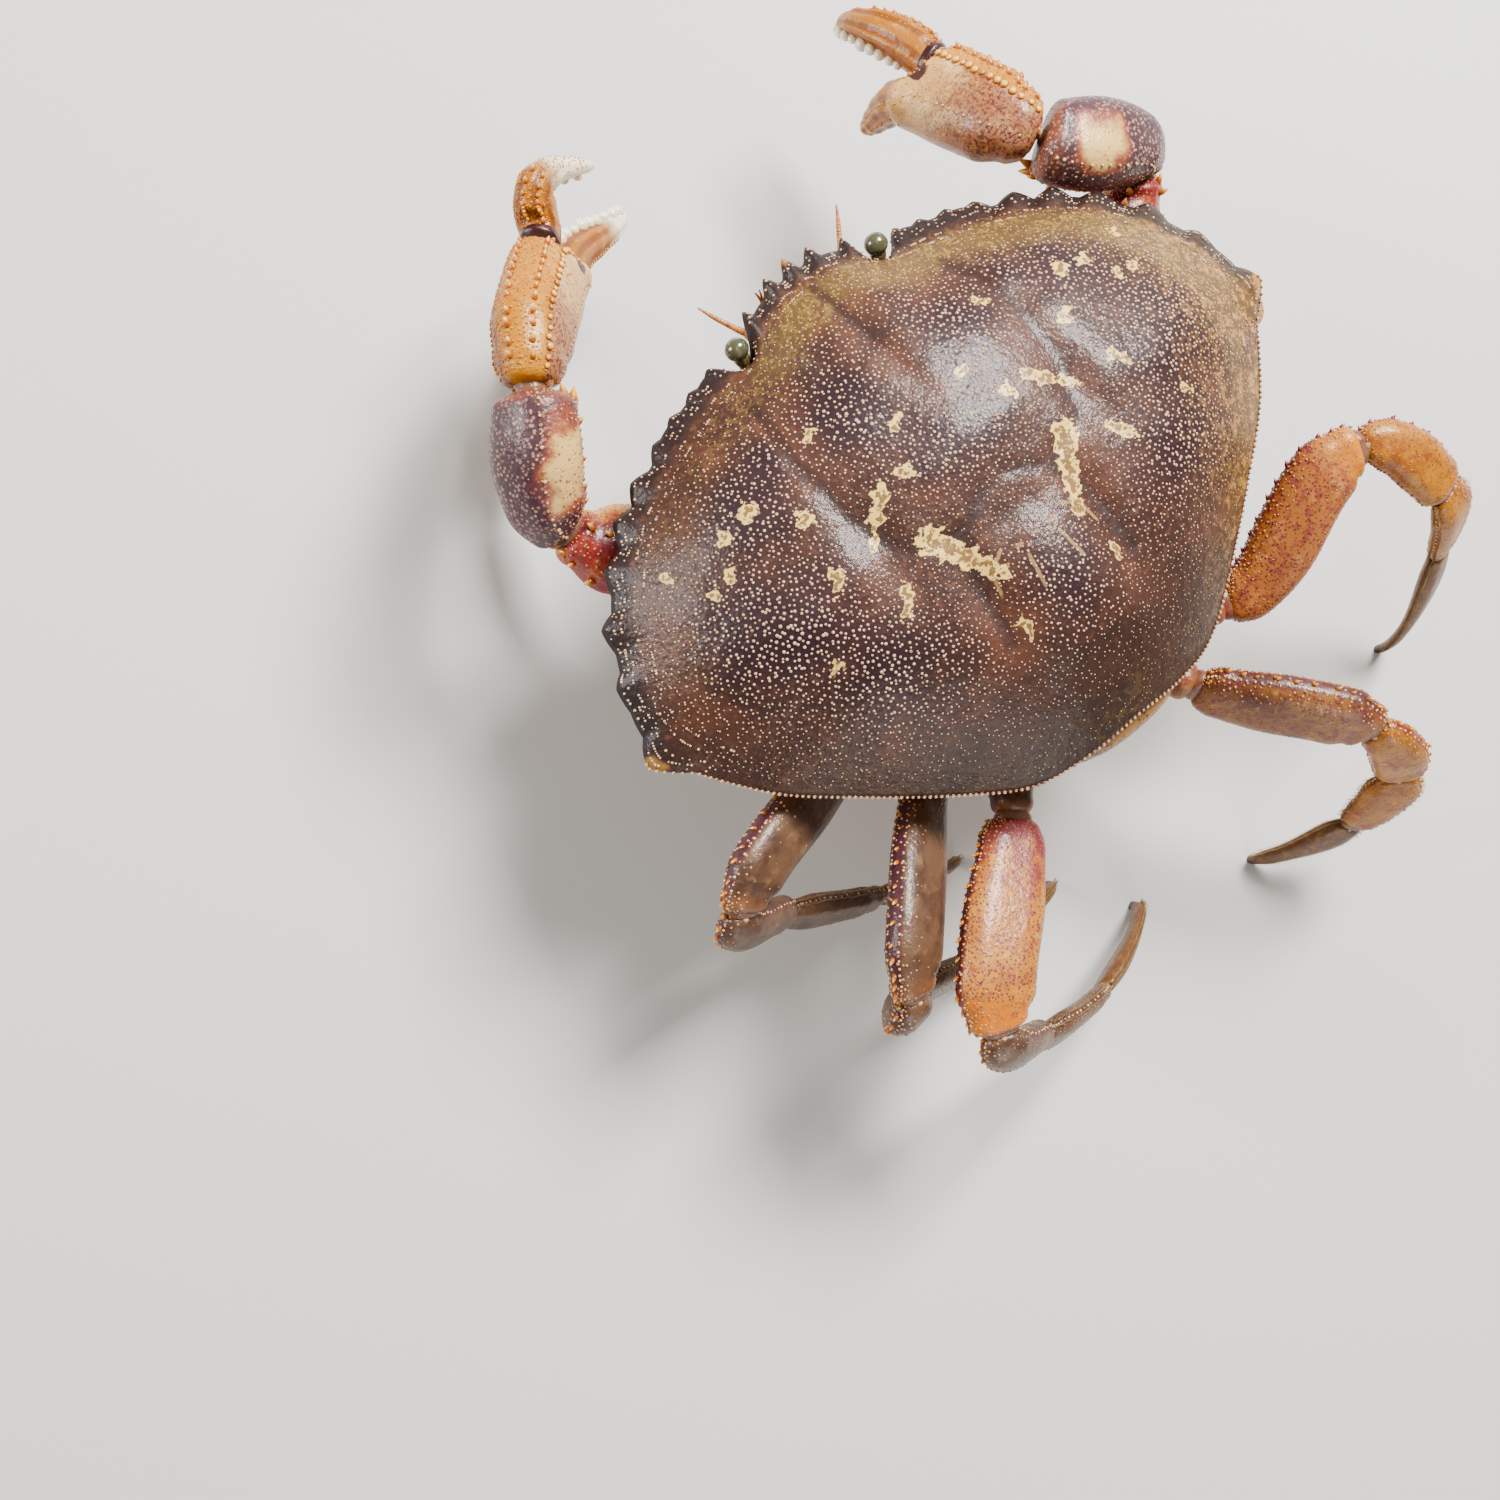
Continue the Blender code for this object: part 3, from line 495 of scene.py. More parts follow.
# The texture node of each pattern, with its settings
PATTERNS = {
    NOISE: ("TexNoise", {"Detail": 4.0, "Roughness": 0.6}),
    CELLS: ("TexVoronoi", {}),
    THREADS: ("TexNoise", {"Detail": 5.0, "Roughness": 0.7, "Distortion": 2.5}),
    SPECKS: ("TexVoronoi", {}),
}


@dataclass(frozen=True)
class Layer:
    """One colour laid over those below it, where its source runs from low to high.

    A value alone is read from the vertices, and beside a pattern it says where the pattern shows.
    Wobble is how far noise of the same size moves the source, for an uneven edge.
    """

    colour: str
    source: Source
    low: float
    high: float
    size: float = 5.0
    strength: float = 1.0
    value: str = ""
    wobble: float = 0.0


@dataclass(frozen=True)
class Finish:
    """A real surface: its colours from the lowest layer up, its shine and its fine relief.

    Sizes of patterns are millimetres. Bumps are pairs of pattern size and height.
    """

    name: str
    colour: str
    layers: tuple[Layer, ...] = ()
    roughness: float = 0.35
    coat: float = 0.5
    coat_roughness: float = 0.12
    subsurface: float = 0.0
    bumps: tuple[tuple[float, float], ...] = ((1.2, 0.06),)

    def material(self) -> bpy.types.Material:
        """Return the finish as a material, made at its first use.

        Returns:
            The material.
        """
        found = bpy.data.materials.get(self.name)
        if found:
            return found
        made = bpy.data.materials.new(self.name)
        made.use_nodes = True
        tree = made.node_tree
        shader = tree.nodes["Principled BSDF"]
        place = add_node(tree, "TexCoord", {}).outputs["Object"]
        colour = add_node(tree, "RGB", {}).outputs[0]
        colour.default_value = linear(self.colour)
        for layer in self.layers:
            share = self.share(tree, place, layer)
            mix = add_node(tree, "Mix", {0: share, 6: colour, 7: linear(layer.colour)},
                           data_type="RGBA")
            colour = mix.outputs[2]
        tree.links.new(colour, shader.inputs["Base Color"])
        shader.inputs["Roughness"].default_value = self.roughness
        shader.inputs["Coat Weight"].default_value = self.coat
        shader.inputs["Coat Roughness"].default_value = self.coat_roughness
        shader.inputs["Subsurface Weight"].default_value = self.subsurface
        shader.inputs["Subsurface Radius"].default_value = (1.0, 0.45, 0.25)
        shader.inputs["Subsurface Scale"].default_value = 1.5 * MM
        self.relief(tree, place, shader)
        return made

    def share(self, tree: Tree, place: Socket, layer: Layer) -> Socket:
        """Add the nodes that say how much a layer covers at each point.

        Args:
            tree: the material's node tree.
            place: the object coordinates.
            layer: the layer.

        Returns:
            The socket with its share, 0 to the layer's strength.
        """
        at = {"Vector": place, "Scale": 1.0 / (layer.size * MM)}
        if layer.source is VALUE:
            source = add_node(tree, "Attribute", {}, attribute_name=layer.value).outputs["Fac"]
        else:
            kind, settings = PATTERNS[layer.source]
            source = add_node(tree, kind, at | settings).outputs[0]
        if layer.wobble:
            noise = add_node(tree, "TexNoise", at | {"Detail": 3.0})
            centred = add_node(tree, "Math", {0: noise.outputs[0], 1: 0.5}, operation="SUBTRACT")
            source = add_node(tree, "Math", {0: centred.outputs[0], 1: layer.wobble, 2: source},
                              operation="MULTIPLY_ADD").outputs[0]
        spans = {0: source, 1: layer.low, 2: layer.high, 3: 0.0, 4: layer.strength}
        ranged = add_node(tree, "MapRange", spans, interpolation_type="SMOOTHSTEP").outputs[0]
        if layer.source is VALUE or not layer.value:
            return ranged
        where = add_node(tree, "Attribute", {}, attribute_name=layer.value).outputs["Fac"]
        return add_node(tree, "Math", {0: ranged, 1: where}, operation="MULTIPLY", use_clamp=True).outputs[0]

    def relief(self, tree: Tree, place: Socket, shader: Node) -> None:
        """Chain the fine relief into the normals of the shader and of its clear coat.

        Args:
            tree: the material's node tree.
            place: the object coordinates.
            shader: the Principled node.
        """
        normal = None
        for size, height in self.bumps:
            noise = add_node(tree, "TexNoise", {"Vector": place, "Scale": 1.0 / (size * MM), "Detail": 3.0})
            inputs = {"Height": noise.outputs[0], "Distance": height * MM, "Strength": 1.0}
            if normal is not None:
                inputs["Normal"] = normal
            normal = add_node(tree, "Bump", inputs).outputs[0]
        if normal is not None:
            tree.links.new(normal, shader.inputs["Normal"])
            tree.links.new(normal, shader.inputs["Coat Normal"])


# Wet living shell: a hard glossy skin over brown pigment. The eye sees purple bosses, an ochre belt
# of fine threads behind the front edge, a nearly black edge and sharp small glints.
BACK = Finish("wet_back_shell", "#41241a", (
    Layer("#5f3827", NOISE, 0.4, 0.66, 13, 0.85),
    Layer("#764b35", NOISE, 0.5, 0.7, 1.5, 0.65),
    Layer("#2a111c", VALUE, 0.2, 0.8, 6, 0.88, "boss", 0.5),
    Layer("#70532a", VALUE, 0.3, 0.95, 9, 0.8, "ochre", 0.9),
    # Painted shade: the rear of the back is darkened, less toward the crab's right side
    Layer("#2c1910", VALUE, 0.25, 0.95, 9, 0.7, "rear", 0.6),
    Layer("#a38a3c", THREADS, 0.5, 0.6, 3, 0.75, "ochre"),
    Layer("#cc925c", NOISE, 0.5, 0.66, 2.4, 0.85, "right"),
    Layer("#2c1613", VALUE, 0.35, 0.9, 3, 0.6, "groove", 0.5),
    Layer("#b48b5c", VALUE, 0.4, 0.8, 1.2, 0.7, "seam", 0.7),
    Layer("#ecc878", VALUE, 0.42, 0.56, 1.1, 0.95, "scar", 1.3),
    Layer("#5c351c", VALUE, 0.55, 0.75, 0.8, 0.8, "scar_dots", 2.2),
    Layer("#1d1114", VALUE, 0.4, 0.95, 2.5, 0.85, "edge", 0.6),
    Layer("#c08a44", VALUE, 0.32, 0.75, 2, 0.85, "tooth", 0.4),
    Layer("#cfa068", VALUE, 0.4, 0.75, 4, 0.95, "under", 0.25),
    Layer("#b27a4a", NOISE, 0.46, 0.66, 5, 0.6, "under"),
    Layer("#8f5a3c", VALUE, 0.25, 0.9, 5, 0.8, "flank", 0.9),
    Layer("#5d3430", SPECKS, 0.34, 0.18, 1.5, 0.75, "flank"),
    # Painted shade in the hollows of the face, and painted highlight on its raised lines
    Layer("#6a3f2c", VALUE, 0.25, 0.7, 2, 0.85, "crease", 0.2),
    Layer("#e3bd84", VALUE, 0.45, 0.95, 2, 0.7, "ledge", 0.3),
), roughness=0.6, coat=0.3, coat_roughness=0.1, bumps=((0.75, 0.14), (2.6, 0.24)))
# Shell granules: worn cream tops on the same pigment
GRANULE = Finish("pale_shell_granules", "#a97b5c", (
    Layer("#f0dcc2", VALUE, 0.2, 0.8, 5, 0.9, "rise", 0.2),
    Layer("#a06a35", NOISE, 0.5, 0.72, 16, 0.5),
    Layer("#70493a", VALUE, 0.8, 0.97, 5, 0.7, "tint"),
), roughness=0.28, coat=0.6, bumps=())
# Leg shell: thin wet horn, speckled purple-brown over orange-tan, darker along the edges
LEG = Finish("wet_leg_shell", "#9c6836", (
    Layer("#6b382a", NOISE, 0.42, 0.62, 8, 0.75),
    Layer("#c9924e", NOISE, 0.54, 0.7, 3.5, 0.65),
    Layer("#78283a", NOISE, 0.48, 0.64, 2.2, 0.6),
    Layer("#4f1c2c", SPECKS, 0.34, 0.16, 1, 0.7),
    Layer("#431a28", VALUE, 0.45, 0.95, 3, 0.8, "ridge", 0.6),
    Layer("#a8653a", VALUE, 0.88, 0.99, 3, 0.6, "tip_end", 0.3),
), roughness=0.46, coat=0.3, coat_roughness=0.14, bumps=((0.8, 0.13), (2.5, 0.2)))
SUN_LEG = replace(LEG, name="sunlit_leg_shell", colour="#bf8236", layers=(
    Layer("#a06030", NOISE, 0.44, 0.62, 7, 0.6),
    Layer("#dba652", NOISE, 0.52, 0.72, 4, 0.6),
    Layer("#8e3440", NOISE, 0.52, 0.66, 1.8, 0.7),
    Layer("#6e1c34", SPECKS, 0.44, 0.22, 0.8, 0.8),
    Layer("#7c2236", VALUE, 0.6, 0.95, 4, 0.85, "root", 0.9),
    Layer("#6a1a34", VALUE, 0.45, 0.95, 3, 0.85, "ridge", 0.7),
    Layer("#d9791c", VALUE, 0.82, 0.95, 3, 0.8, "tip_end", 0.4),
))
# Painted shade: a darker grey-brown copy of the leg shell, for the left legs that stand in shade
SHADED_LEG = replace(LEG, name="shaded_grey_brown_leg_shell", colour="#6b4f3a", layers=(
    Layer("#4a3026", NOISE, 0.42, 0.62, 9, 0.8),
    Layer("#92704e", NOISE, 0.56, 0.74, 4, 0.6),
    Layer("#43182c", VALUE, 0.4, 0.95, 3, 0.85, "ridge", 0.6),
    Layer("#9c6238", VALUE, 0.88, 0.99, 3, 0.6, "tip_end", 0.2),
))
GOLD_LEG = replace(LEG, name="golden_leg_shell", colour="#b57826", layers=(
    Layer("#8c4718", NOISE, 0.44, 0.62, 6, 0.75),
    Layer("#dd9c48", NOISE, 0.55, 0.72, 3, 0.6),
    Layer("#74302c", NOISE, 0.5, 0.68, 2, 0.55),
    Layer("#6a2a24", SPECKS, 0.32, 0.15, 1, 0.65),
    Layer("#7a2a28", VALUE, 0.5, 0.95, 3, 0.75, "ridge", 0.6),
    Layer("#54371f", VALUE, 0.92, 1, 3, 0.5, "tip_end", 0.25),
))
PINK_LEG = replace(LEG, name="pink_leg_shell", colour="#b07038", layers=(
    Layer("#d39c5c", NOISE, 0.52, 0.72, 5, 0.65),
    Layer("#8c3440", NOISE, 0.48, 0.64, 2, 0.7),
    Layer("#6a1e34", SPECKS, 0.44, 0.22, 0.8, 0.8),
    Layer("#7a1f30", VALUE, 0.5, 0.95, 3, 0.85, "ridge", 0.7),
    Layer("#d08426", VALUE, 0.8, 0.97, 3, 0.85, "tip_end", 0.35),
))
BROWN_TIP = replace(LEG, name="brown_leg_tip", colour="#6b4524", layers=(
    Layer("#94662f", NOISE, 0.46, 0.66, 2, 0.7),
    Layer("#332016", VALUE, 0.82, 0.98, 2, 0.9, "tip_end", 0.2),
))
LEG_BEAD = Finish("leg_granules", "#b98355", (
    Layer("#e9cfa6", VALUE, 0.3, 0.9, 5, 0.8, "rise", 0.2),
    Layer("#7a4a40", VALUE, 0.6, 0.9, 5, 0.7, "tint"),
), roughness=0.35, coat=0.4, bumps=())
GOLD_BEAD = Finish("golden_granules", "#bb6e18", (
    Layer("#f4cb74", VALUE, 0.3, 0.9, 5, 0.85, "rise", 0.2),
    Layer("#8a4c22", VALUE, 0.7, 0.95, 5, 0.6, "tint"),
), roughness=0.32, coat=0.5, bumps=())
# Arm shell: the same horn with a net of dark purple lines, and one cream patch toward the body
CARPUS = Finish("dark_carpus_shell", "#b08c7c", (
    Layer("#7c4654", NOISE, 0.42, 0.66, 5, 0.75),
    Layer("#33142a", CELLS, 0.26, 0.44, 1, 0.85),
    Layer("#3c1630", VALUE, 0.45, 0.95, 4, 0.6, "ridge", 0.6),
    Layer("#a8583a", VALUE, 0.15, 0.55, 5, 0.8, "patch", 1.1),
    Layer("#e3bf7c", VALUE, 0.42, 0.85, 5, 0.95, "patch", 1.2),
    Layer("#94583a", SPECKS, 0.26, 0.12, 1.3, 0.7, "patch"),
    Layer("#9c5634", VALUE, 0.9, 0.99, 3, 0.6, "tip_end", 0.25),
), roughness=0.46, coat=0.3, coat_roughness=0.14, bumps=((0.8, 0.16), (2.2, 0.22)))
MERUS = Finish("crimson_merus_shell", "#9c3a30", (
    Layer("#c8803e", NOISE, 0.52, 0.66, 7, 0.8),
    Layer("#86262c", NOISE, 0.46, 0.64, 3, 0.8),
    Layer("#541a26", SPECKS, 0.38, 0.2, 1, 0.6),
    Layer("#dfa448", VALUE, 0.45, 0.85, 4, 0.8, "inner", 0.6),
    Layer("#5c2534", VALUE, 0.45, 0.95, 3, 0.7, "ridge", 0.6),
), roughness=0.42, coat=0.3, coat_roughness=0.14, bumps=((0.8, 0.12), (2.4, 0.18)))
# Claw shell: cream on the inner face, gold along the crest, and purple specks toward the wrist
PALM = Finish("claw_shell", "#b07d48", (
    Layer("#8a5430", NOISE, 0.44, 0.64, 5, 0.7),
    Layer("#dcae6e", VALUE, 0.2, 0.7, 5, 0.92, "inner", 0.6),
    Layer("#f3dfb0", NOISE, 0.44, 0.66, 7, 0.85, "inner"),
    Layer("#94543c", VALUE, 0.35, 0.95, 4, 0.6, "wrist", 0.8),
    Layer("#5e2430", NOISE, 0.49, 0.58, 0.7, 0.85, "wrist"),
    Layer("#7a3f24", SPECKS, 0.3, 0.14, 1, 0.6),
    Layer("#c4831c", VALUE, 0.4, 0.75, 3, 0.88, "ridge", 0.5),
    Layer("#a8681c", VALUE, 0.3, 0.8, 4, 0.9, "finger", 0.35),
    Layer("#f0c064", NOISE, 0.54, 0.7, 2.2, 0.4),
    Layer("#7a3c12", VALUE, 0.25, 0.85, 3, 0.75, "rib", 0.5),
    Layer("#3c1420", VALUE, 0.4, 0.6, 2.2, 0.95, "joint", 0.9),
    Layer("#f7ecd0", VALUE, 0.66, 0.92, 3, 0.97, "tip_end", 0.15),
), roughness=0.44, coat=0.3, coat_roughness=0.14, bumps=((0.8, 0.14), (2.4, 0.22)))
# Hinge skin: dark wet membrane round the finger's root
HINGE = Finish("hinge_skin", "#3a1c1c", (
    Layer("#6b3a30", NOISE, 0.5, 0.7, 2, 0.7),
), roughness=0.4, coat=0.5, subsurface=0.1, bumps=((0.6, 0.1),))
# Spines and teeth: thick polished horn, paler and clearer toward the tips
SPINY = Finish("golden_spines", "#b5641a", (
    Layer("#f0bd66", VALUE, 0.25, 0.85, 4, 0.9, "rise", 0.2),
), roughness=0.34, coat=0.5, bumps=())
RED_SPINY = Finish("red_spines", "#84303a", (
    Layer("#d9a08a", VALUE, 0.35, 0.9, 4, 0.9, "rise", 0.2),
), roughness=0.34, coat=0.5, bumps=())
TOOTH = Finish("white_claw_teeth", "#e9dcc2", (
    Layer("#fbf6ea", VALUE, 0.3, 0.9, 4, 0.9, "rise", 0.1),
), roughness=0.25, coat=0.6, subsurface=0.1, bumps=())
# Joint skin: thin and wet, so light soaks in
SKIN = Finish("joint_skin", "#7d5a44", (
    Layer("#7d3c2c", NOISE, 0.45, 0.65, 3, 0.75),
), roughness=0.42, coat=0.45, subsurface=0.2, bumps=((0.6, 0.14),))
KNOB = Finish("joint_knobs", "#9a6034", (
    Layer("#ecd0a8", VALUE, 0.5, 1, 4, 0.9, "rise", 0.2),
), roughness=0.3, coat=0.6, bumps=())
# Underside: shell with little pigment, cream with tan clouds and darker seams
BELLY = Finish("cream_underside", "#d6b47c", (
    Layer("#b98d60", NOISE, 0.46, 0.68, 6, 0.6),
    Layer("#94694a", VALUE, 0.4, 0.9, 2, 0.7, "groove", 0.2),
), roughness=0.42, coat=0.3, bumps=((0.9, 0.08), (3.0, 0.2)))
TAIL = replace(BELLY, name="abdomen_shell", layers=BELLY.layers + (
    Layer("#94683c", VALUE, 0.3, 0.85, 3, 0.8, "rear", 0.6),
    Layer("#4f2c22", SPECKS, 0.44, 0.22, 1.1, 0.8, "rear"),
    Layer("#5a3424", VALUE, 0.35, 0.9, 2, 0.8, "groove", 0.2),
))
KNOB_SKIN = Finish("feeler_shell", "#c98a52", (
    Layer("#8a4a34", NOISE, 0.48, 0.62, 1.5, 0.7),
), roughness=0.35, coat=0.5, subsurface=0.1, bumps=())
MOUTH = Finish("mouth_plate_shell", "#d3ab74", (
    Layer("#b57f4e", NOISE, 0.44, 0.66, 4, 0.7),
    Layer("#9c5f3c", VALUE, 0.35, 0.95, 2, 0.6, "tint", 0.8),
    Layer("#7d4434", SPECKS, 0.3, 0.16, 1.3, 0.7, "tint"),
    Layer("#6b4030", VALUE, 0.35, 0.9, 2, 0.8, "groove", 0.2),
), roughness=0.36, coat=0.45, bumps=((0.8, 0.06), (2.5, 0.12)))
# Setae: dull tan bristles without gloss
HAIRS = Finish("setae", "#a88c5e", (), roughness=0.6, coat=0.0, bumps=())
# Eye: a wet olive-black cornea with one sharp glint, on a stalk of wrinkled skin
EYE = Finish("dark_eye", "#56553f", (
    Layer("#8a876a", NOISE, 0.5, 0.7, 0.8, 0.6),
), roughness=0.14, coat=1.0, coat_roughness=0.03, bumps=())
STALK = Finish("eye_stalk", "#6f5a3c", (
    Layer("#b39a66", NOISE, 0.48, 0.62, 1.2, 0.7),
), roughness=0.35, coat=0.5, bumps=((0.5, 0.06),))


@dataclass
class Carapace:
    """The back shell: a dome over a toothed rim, and an underside that slopes in to the mouth."""

    dome_height: float = 25.5
    dome_power: float = 2.6
    centre: tuple[float, float] = (0.0, -4.0)
    columns: int = 720
    top_rings: int = 66
    under_rings: int = 46
    # The rim's left half without its teeth, from the front to the rear
    half_rim: tuple = (
        (0, -61.5, 6), (8, -60.8, 5.6), (14, -58.4, 4.6), (18.8, -56, 3.2),
        (25, -54.4, 1.6), (34, -52.6, 0.4), (50.9, -46.4, 0), (66.3, -36, 0),
        (77, -20.9, 0), (82, -3.1, 0), (70, 17, 0), (54, 31.5, 0.2),
        (37, 44.5, 0.8), (24.5, 52, 2.2), (12, 53.4, 6.8), (0, 53, 8.6))
    side_teeth: tuple = (
        (25, -57.4, 1.6), (31, -55.6, 0.7), (37.3, -54, 0.2), (43.4, -51.7, 0), (52, -48.2, 0),
        (59.8, -44, 0), (67.4, -37.4, 0), (75.4, -28.3, 0), (80.4, -17.2, 0), (85, -0.6, 0))
    front_teeth: tuple = ((0.0, -65.0, 7.0), (5.6, -64.0, 6.6), (13.2, -61.6, 5.8))
    # Half width at the root and forward lean of the side teeth, the last spine and the front teeth
    tooth_sizes: tuple = ((4.1, 0.5), (6.5, 0.1), (2.1, 0.0))
    orbit: Point = (18.8, 3.3, 5.2)
    # Humps and hollows: place across and along, height, and reach across and along
    swellings: tuple = (
        (14, -31, 2, 10, 11), (0, -14, 1.6, 12, 9), (43, -28, 1.5, 12, 9),
        (53, -8, 1.8, 15, 11), (38, 13, 1.7, 15, 12), (0, 19, 1.6, 10, 11),
        (26, -8, -1.3, 5, 14), (15, 12, -1.5, 4, 12))
    fine_swellings: tuple = (
        (7.5, -45, 0.7, 5, 6), (0, -38, -0.7, 2.2, 9), (30, -38, 0.7, 6, 5),
        (60, -20, 0.7, 6, 6), (33, -22, 0.6, 6, 5), (62, 4, 0.5, 7, 6),
        (7, 30, 0.6, 5, 7), (0, 4, -0.6, 9, 3), (45, -2, 0.6, 6, 5),
        (23, 22, 0.5, 7, 8), (0, 38, -0.5, 14, 3), (31.5, -33.5, 0.9, 5, 4.5),
        (42.5, -36, 0.6, 5, 4.5), (34, -8, 0.8, 6, 7), (10, -12.5, 0.5, 6, 5))
    # Both ends and the width of a line
    grooves: tuple = (
        ((3, -3.5), (11, 1), 1.8), ((11, 1), (15, 11), 2.2), ((15, 11), (16, 24), 2),
        ((11, 1), (22, -3), 2), ((22, -3), (27, -14), 2.2), ((27, -14), (28, -30), 2),
        ((28, -30), (25, -44), 1.7), ((0, -56), (0, -40), 1.4))
    seams: tuple = (
        ((2.5, 10.5), (7.5, 8), 0.55), ((7.5, 8), (11.5, 10.5), 0.5), ((11.5, 10.5), (12.5, 15.5), 0.5),
        ((4, 12), (5, 19), 0.5))
    # Place, how far the scar runs on across and along, and half width
    scars: tuple = (
        (13.3, -15.1, 0, 0, 1.2), (19, -15.3, 8.4, 8.3, 1), (17.5, -1.9, -7.8, 14.1, 1.8),
        (41, -28.2, 0, 0, 1.3), (47.1, -26.9, 0, 0, 1.1), (33.7, -19.9, 0, 0, 1.2),
        (51, -20.5, 0, 0, 0.9), (55.5, -19.5, 0, 0, 0.9), (22, -33, 2, 1.6, 0.8),
        (60, -28, 0, 0, 0.9), (36, -8, 2, 3, 1), (8, -24, 1.6, 1, 0.8),
        (27, 3, 3, 4, 1), (12, 22, 0, 3, 0.8), (46, 6, 1, 1, 0.9))
    # The underside: its half sizes, the levels from the rim to its flat floor, and the floor's rings
    under_half: tuple[float, float] = (37.0, 43.0)
    under_middle: float = -1.0
    under_levels: tuple = ((0.0, 0.2, 0.5, 0.8, 1.0), (0.0, -1.4, -3.6, -7.2, -12.0))
    floor_shares: tuple = (0.8, 0.6, 0.4, 0.2, 0.05)
    mouth_hang: float = 7.0
    granule_pitch: float = 1.22
    granule_radius: float = 0.225
    hair_tries: int = 26000
    # Lines of the face seen from the front: two ends, width, and depth, negative for a ridge
    face_lines: tuple = (
        ((0, 4.2), (0, -2.6), 0.9, 1.1), ((0, -3), (9.4, -3.2), 0.8, 1),
        ((9.4, -3.2), (13.8, -4.6), 0.8, 0.9), ((15.6, -6), (17, -13), 0.9, 1.3),
        ((17, -13), (15.4, -17.5), 0.9, 1.2), ((4.8, 0.9), (5.4, 2.2), 2.1, -1.5),
        ((8.4, 3), (8.2, -1.6), 0.7, 0.7), ((14.6, 1.4), (14.2, -3.4), 0.9, 0.9),
        ((16.6, -5), (23, -4.2), 0.8, 0.9), ((23, -4.2), (31, -2.8), 0.8, 0.7),
        ((20, -7.4), (28, -6.8), 0.55, -0.8), ((28, -6.8), (40, -5.2), 0.55, -0.7),
        ((40, -5.2), (56, -3.6), 0.6, -0.5), ((19, -12.5), (30, -10), 0.7, -0.4))

    def face(self, points: Array) -> Array:
        """Return the relief of the face: the strongest of its lines, each fading as exp(-(away/width)^2).

        Args:
            points: places on the underside.

        Returns:
            The relief in millimetres.
        """
        total = np.zeros(points.shape[:-1])
        x, z = np.abs(points[..., 0]), points[..., 2]
        for start, end, width, height in self.face_lines:
            mound = height * np.exp(-(from_line(x, z, start, end) / width)**2)
            total = np.where(np.abs(mound) > np.abs(total), mound, total)
        return total * ease(-points[..., 1], 28.0, 36.0)

    def rim(self) -> Array:
        """Return the smooth rim without its teeth, at even steps.

        Returns:
            The rim's points.
        """
        half = np.array(self.half_rim)
        whole = np.concatenate([half, half[-2:0:-1] * (-1, 1, 1)])
        return even_steps(closed_curve(whole, 24), self.columns)

    def share_of_rim(self, x: Array, y: Array) -> tuple[Array, Array]:
        """Return how far out points lie, and the rim's height there.

        Args:
            x, y: places across and along.

        Returns:
            Shares from 0 in the middle to 1 on the rim, and heights.
        """
        rim = self.rim()
        angles = np.arctan2(rim[:, 1] - self.centre[1], rim[:, 0])
        radii = np.hypot(rim[:, 0], rim[:, 1] - self.centre[1])
        order = np.argsort(angles)
        angle = np.arctan2(y - self.centre[1], x)
        reach = np.interp(angle, angles[order], radii[order], period=2 * math.pi)
        level = np.interp(angle, angles[order], rim[order, 2], period=2 * math.pi)
        return np.hypot(x, y - self.centre[1]) / reach, level

    def humps(self, x: Array, y: Array, table: tuple) -> Array:
        """Sum soft humps, each height * exp(-(dx/reach_x)^2 - (dy/reach_y)^2), on both sides.

        Args:
            x, y: places across and along.
            table: the humps.

        Returns:
            Their height at each place.
        """
        total = np.zeros(np.shape(x))
        for side, along, height, reach_x, reach_y in table:
            for sign in (1.0, -1.0) if side else (1.0,):
                total += height * np.exp(-((x - sign * side) / reach_x)**2 - ((y - along) / reach_y)**2)
        return total

    def groove(self, x: Array, y: Array, lines: tuple | None = None) -> Array:
        """Return 1 in the middle of a groove and exp(-(away/width)^2) beside it.

        Args:
            x, y: places across and along.
            lines: other lines than the grooves, if any.

        Returns:
            The value at each place.
        """
        total = np.zeros(np.shape(x))
        for (ax, ay), (bx, by), width in lines or self.grooves:
            for sign in (1.0, -1.0):
                away = from_line(x, y, (sign * ax, ay), (sign * bx, by))
                total = np.maximum(total, np.exp(-(away / width)**2))
        return total

    def scar(self, x: Array, y: Array) -> Array:
        """Return 1 in the middle of a pale scar, 0.5 on its edge, made uneven by sines, and 0 beyond.

        Args:
            x, y: places across and along.

        Returns:
            The value at each place.
        """
        total = np.zeros(np.shape(x))
        x, y = (x + 0.45 * np.sin(1.7 * y + 1.3 * np.sin(0.9 * x)) + 0.25 * np.sin(3.1 * y + x),
                y + 0.45 * np.sin(1.9 * x + 1.1 * np.sin(1.2 * y)) + 0.25 * np.sin(2.9 * x - y))
        for ax, ay, dx, dy, width in self.scars:
            for sign in (1.0, -1.0):
                length = max(dx * dx + dy * dy, 1e-6)
                run = np.clip(((x - sign * ax) * sign * dx + (y - ay) * dy) / length, 0.0, 1.0)
                away = np.hypot(x - sign * (ax + run * dx), y - ay - run * dy)
                swell = width * (1.45 - 0.8 * run * (length > 1.0))
                total = np.maximum(total, 1.0 - ease(away, 0.0, 2.0 * swell))
        return total

    def height(self, x: Array, y: Array) -> Array:
        """Return the height of the back: a dome, its swellings and shallow grooves, which fade to the rim.

        Args:
            x, y: places across and along.

        Returns:
            Heights.
        """
        share, level = self.share_of_rim(x, y)
        share = np.minimum(share, 1.0)
        fade = np.clip((1.0 - share) / 0.2, 0.0, 1.0)
        z = level * share**2 + self.dome_height * (1.0 - share**self.dome_power)
        relief = self.humps(x, y, self.swellings) + self.humps(x, y, self.fine_swellings)
        return z + fade * (relief - 0.32 * self.groove(x, y))

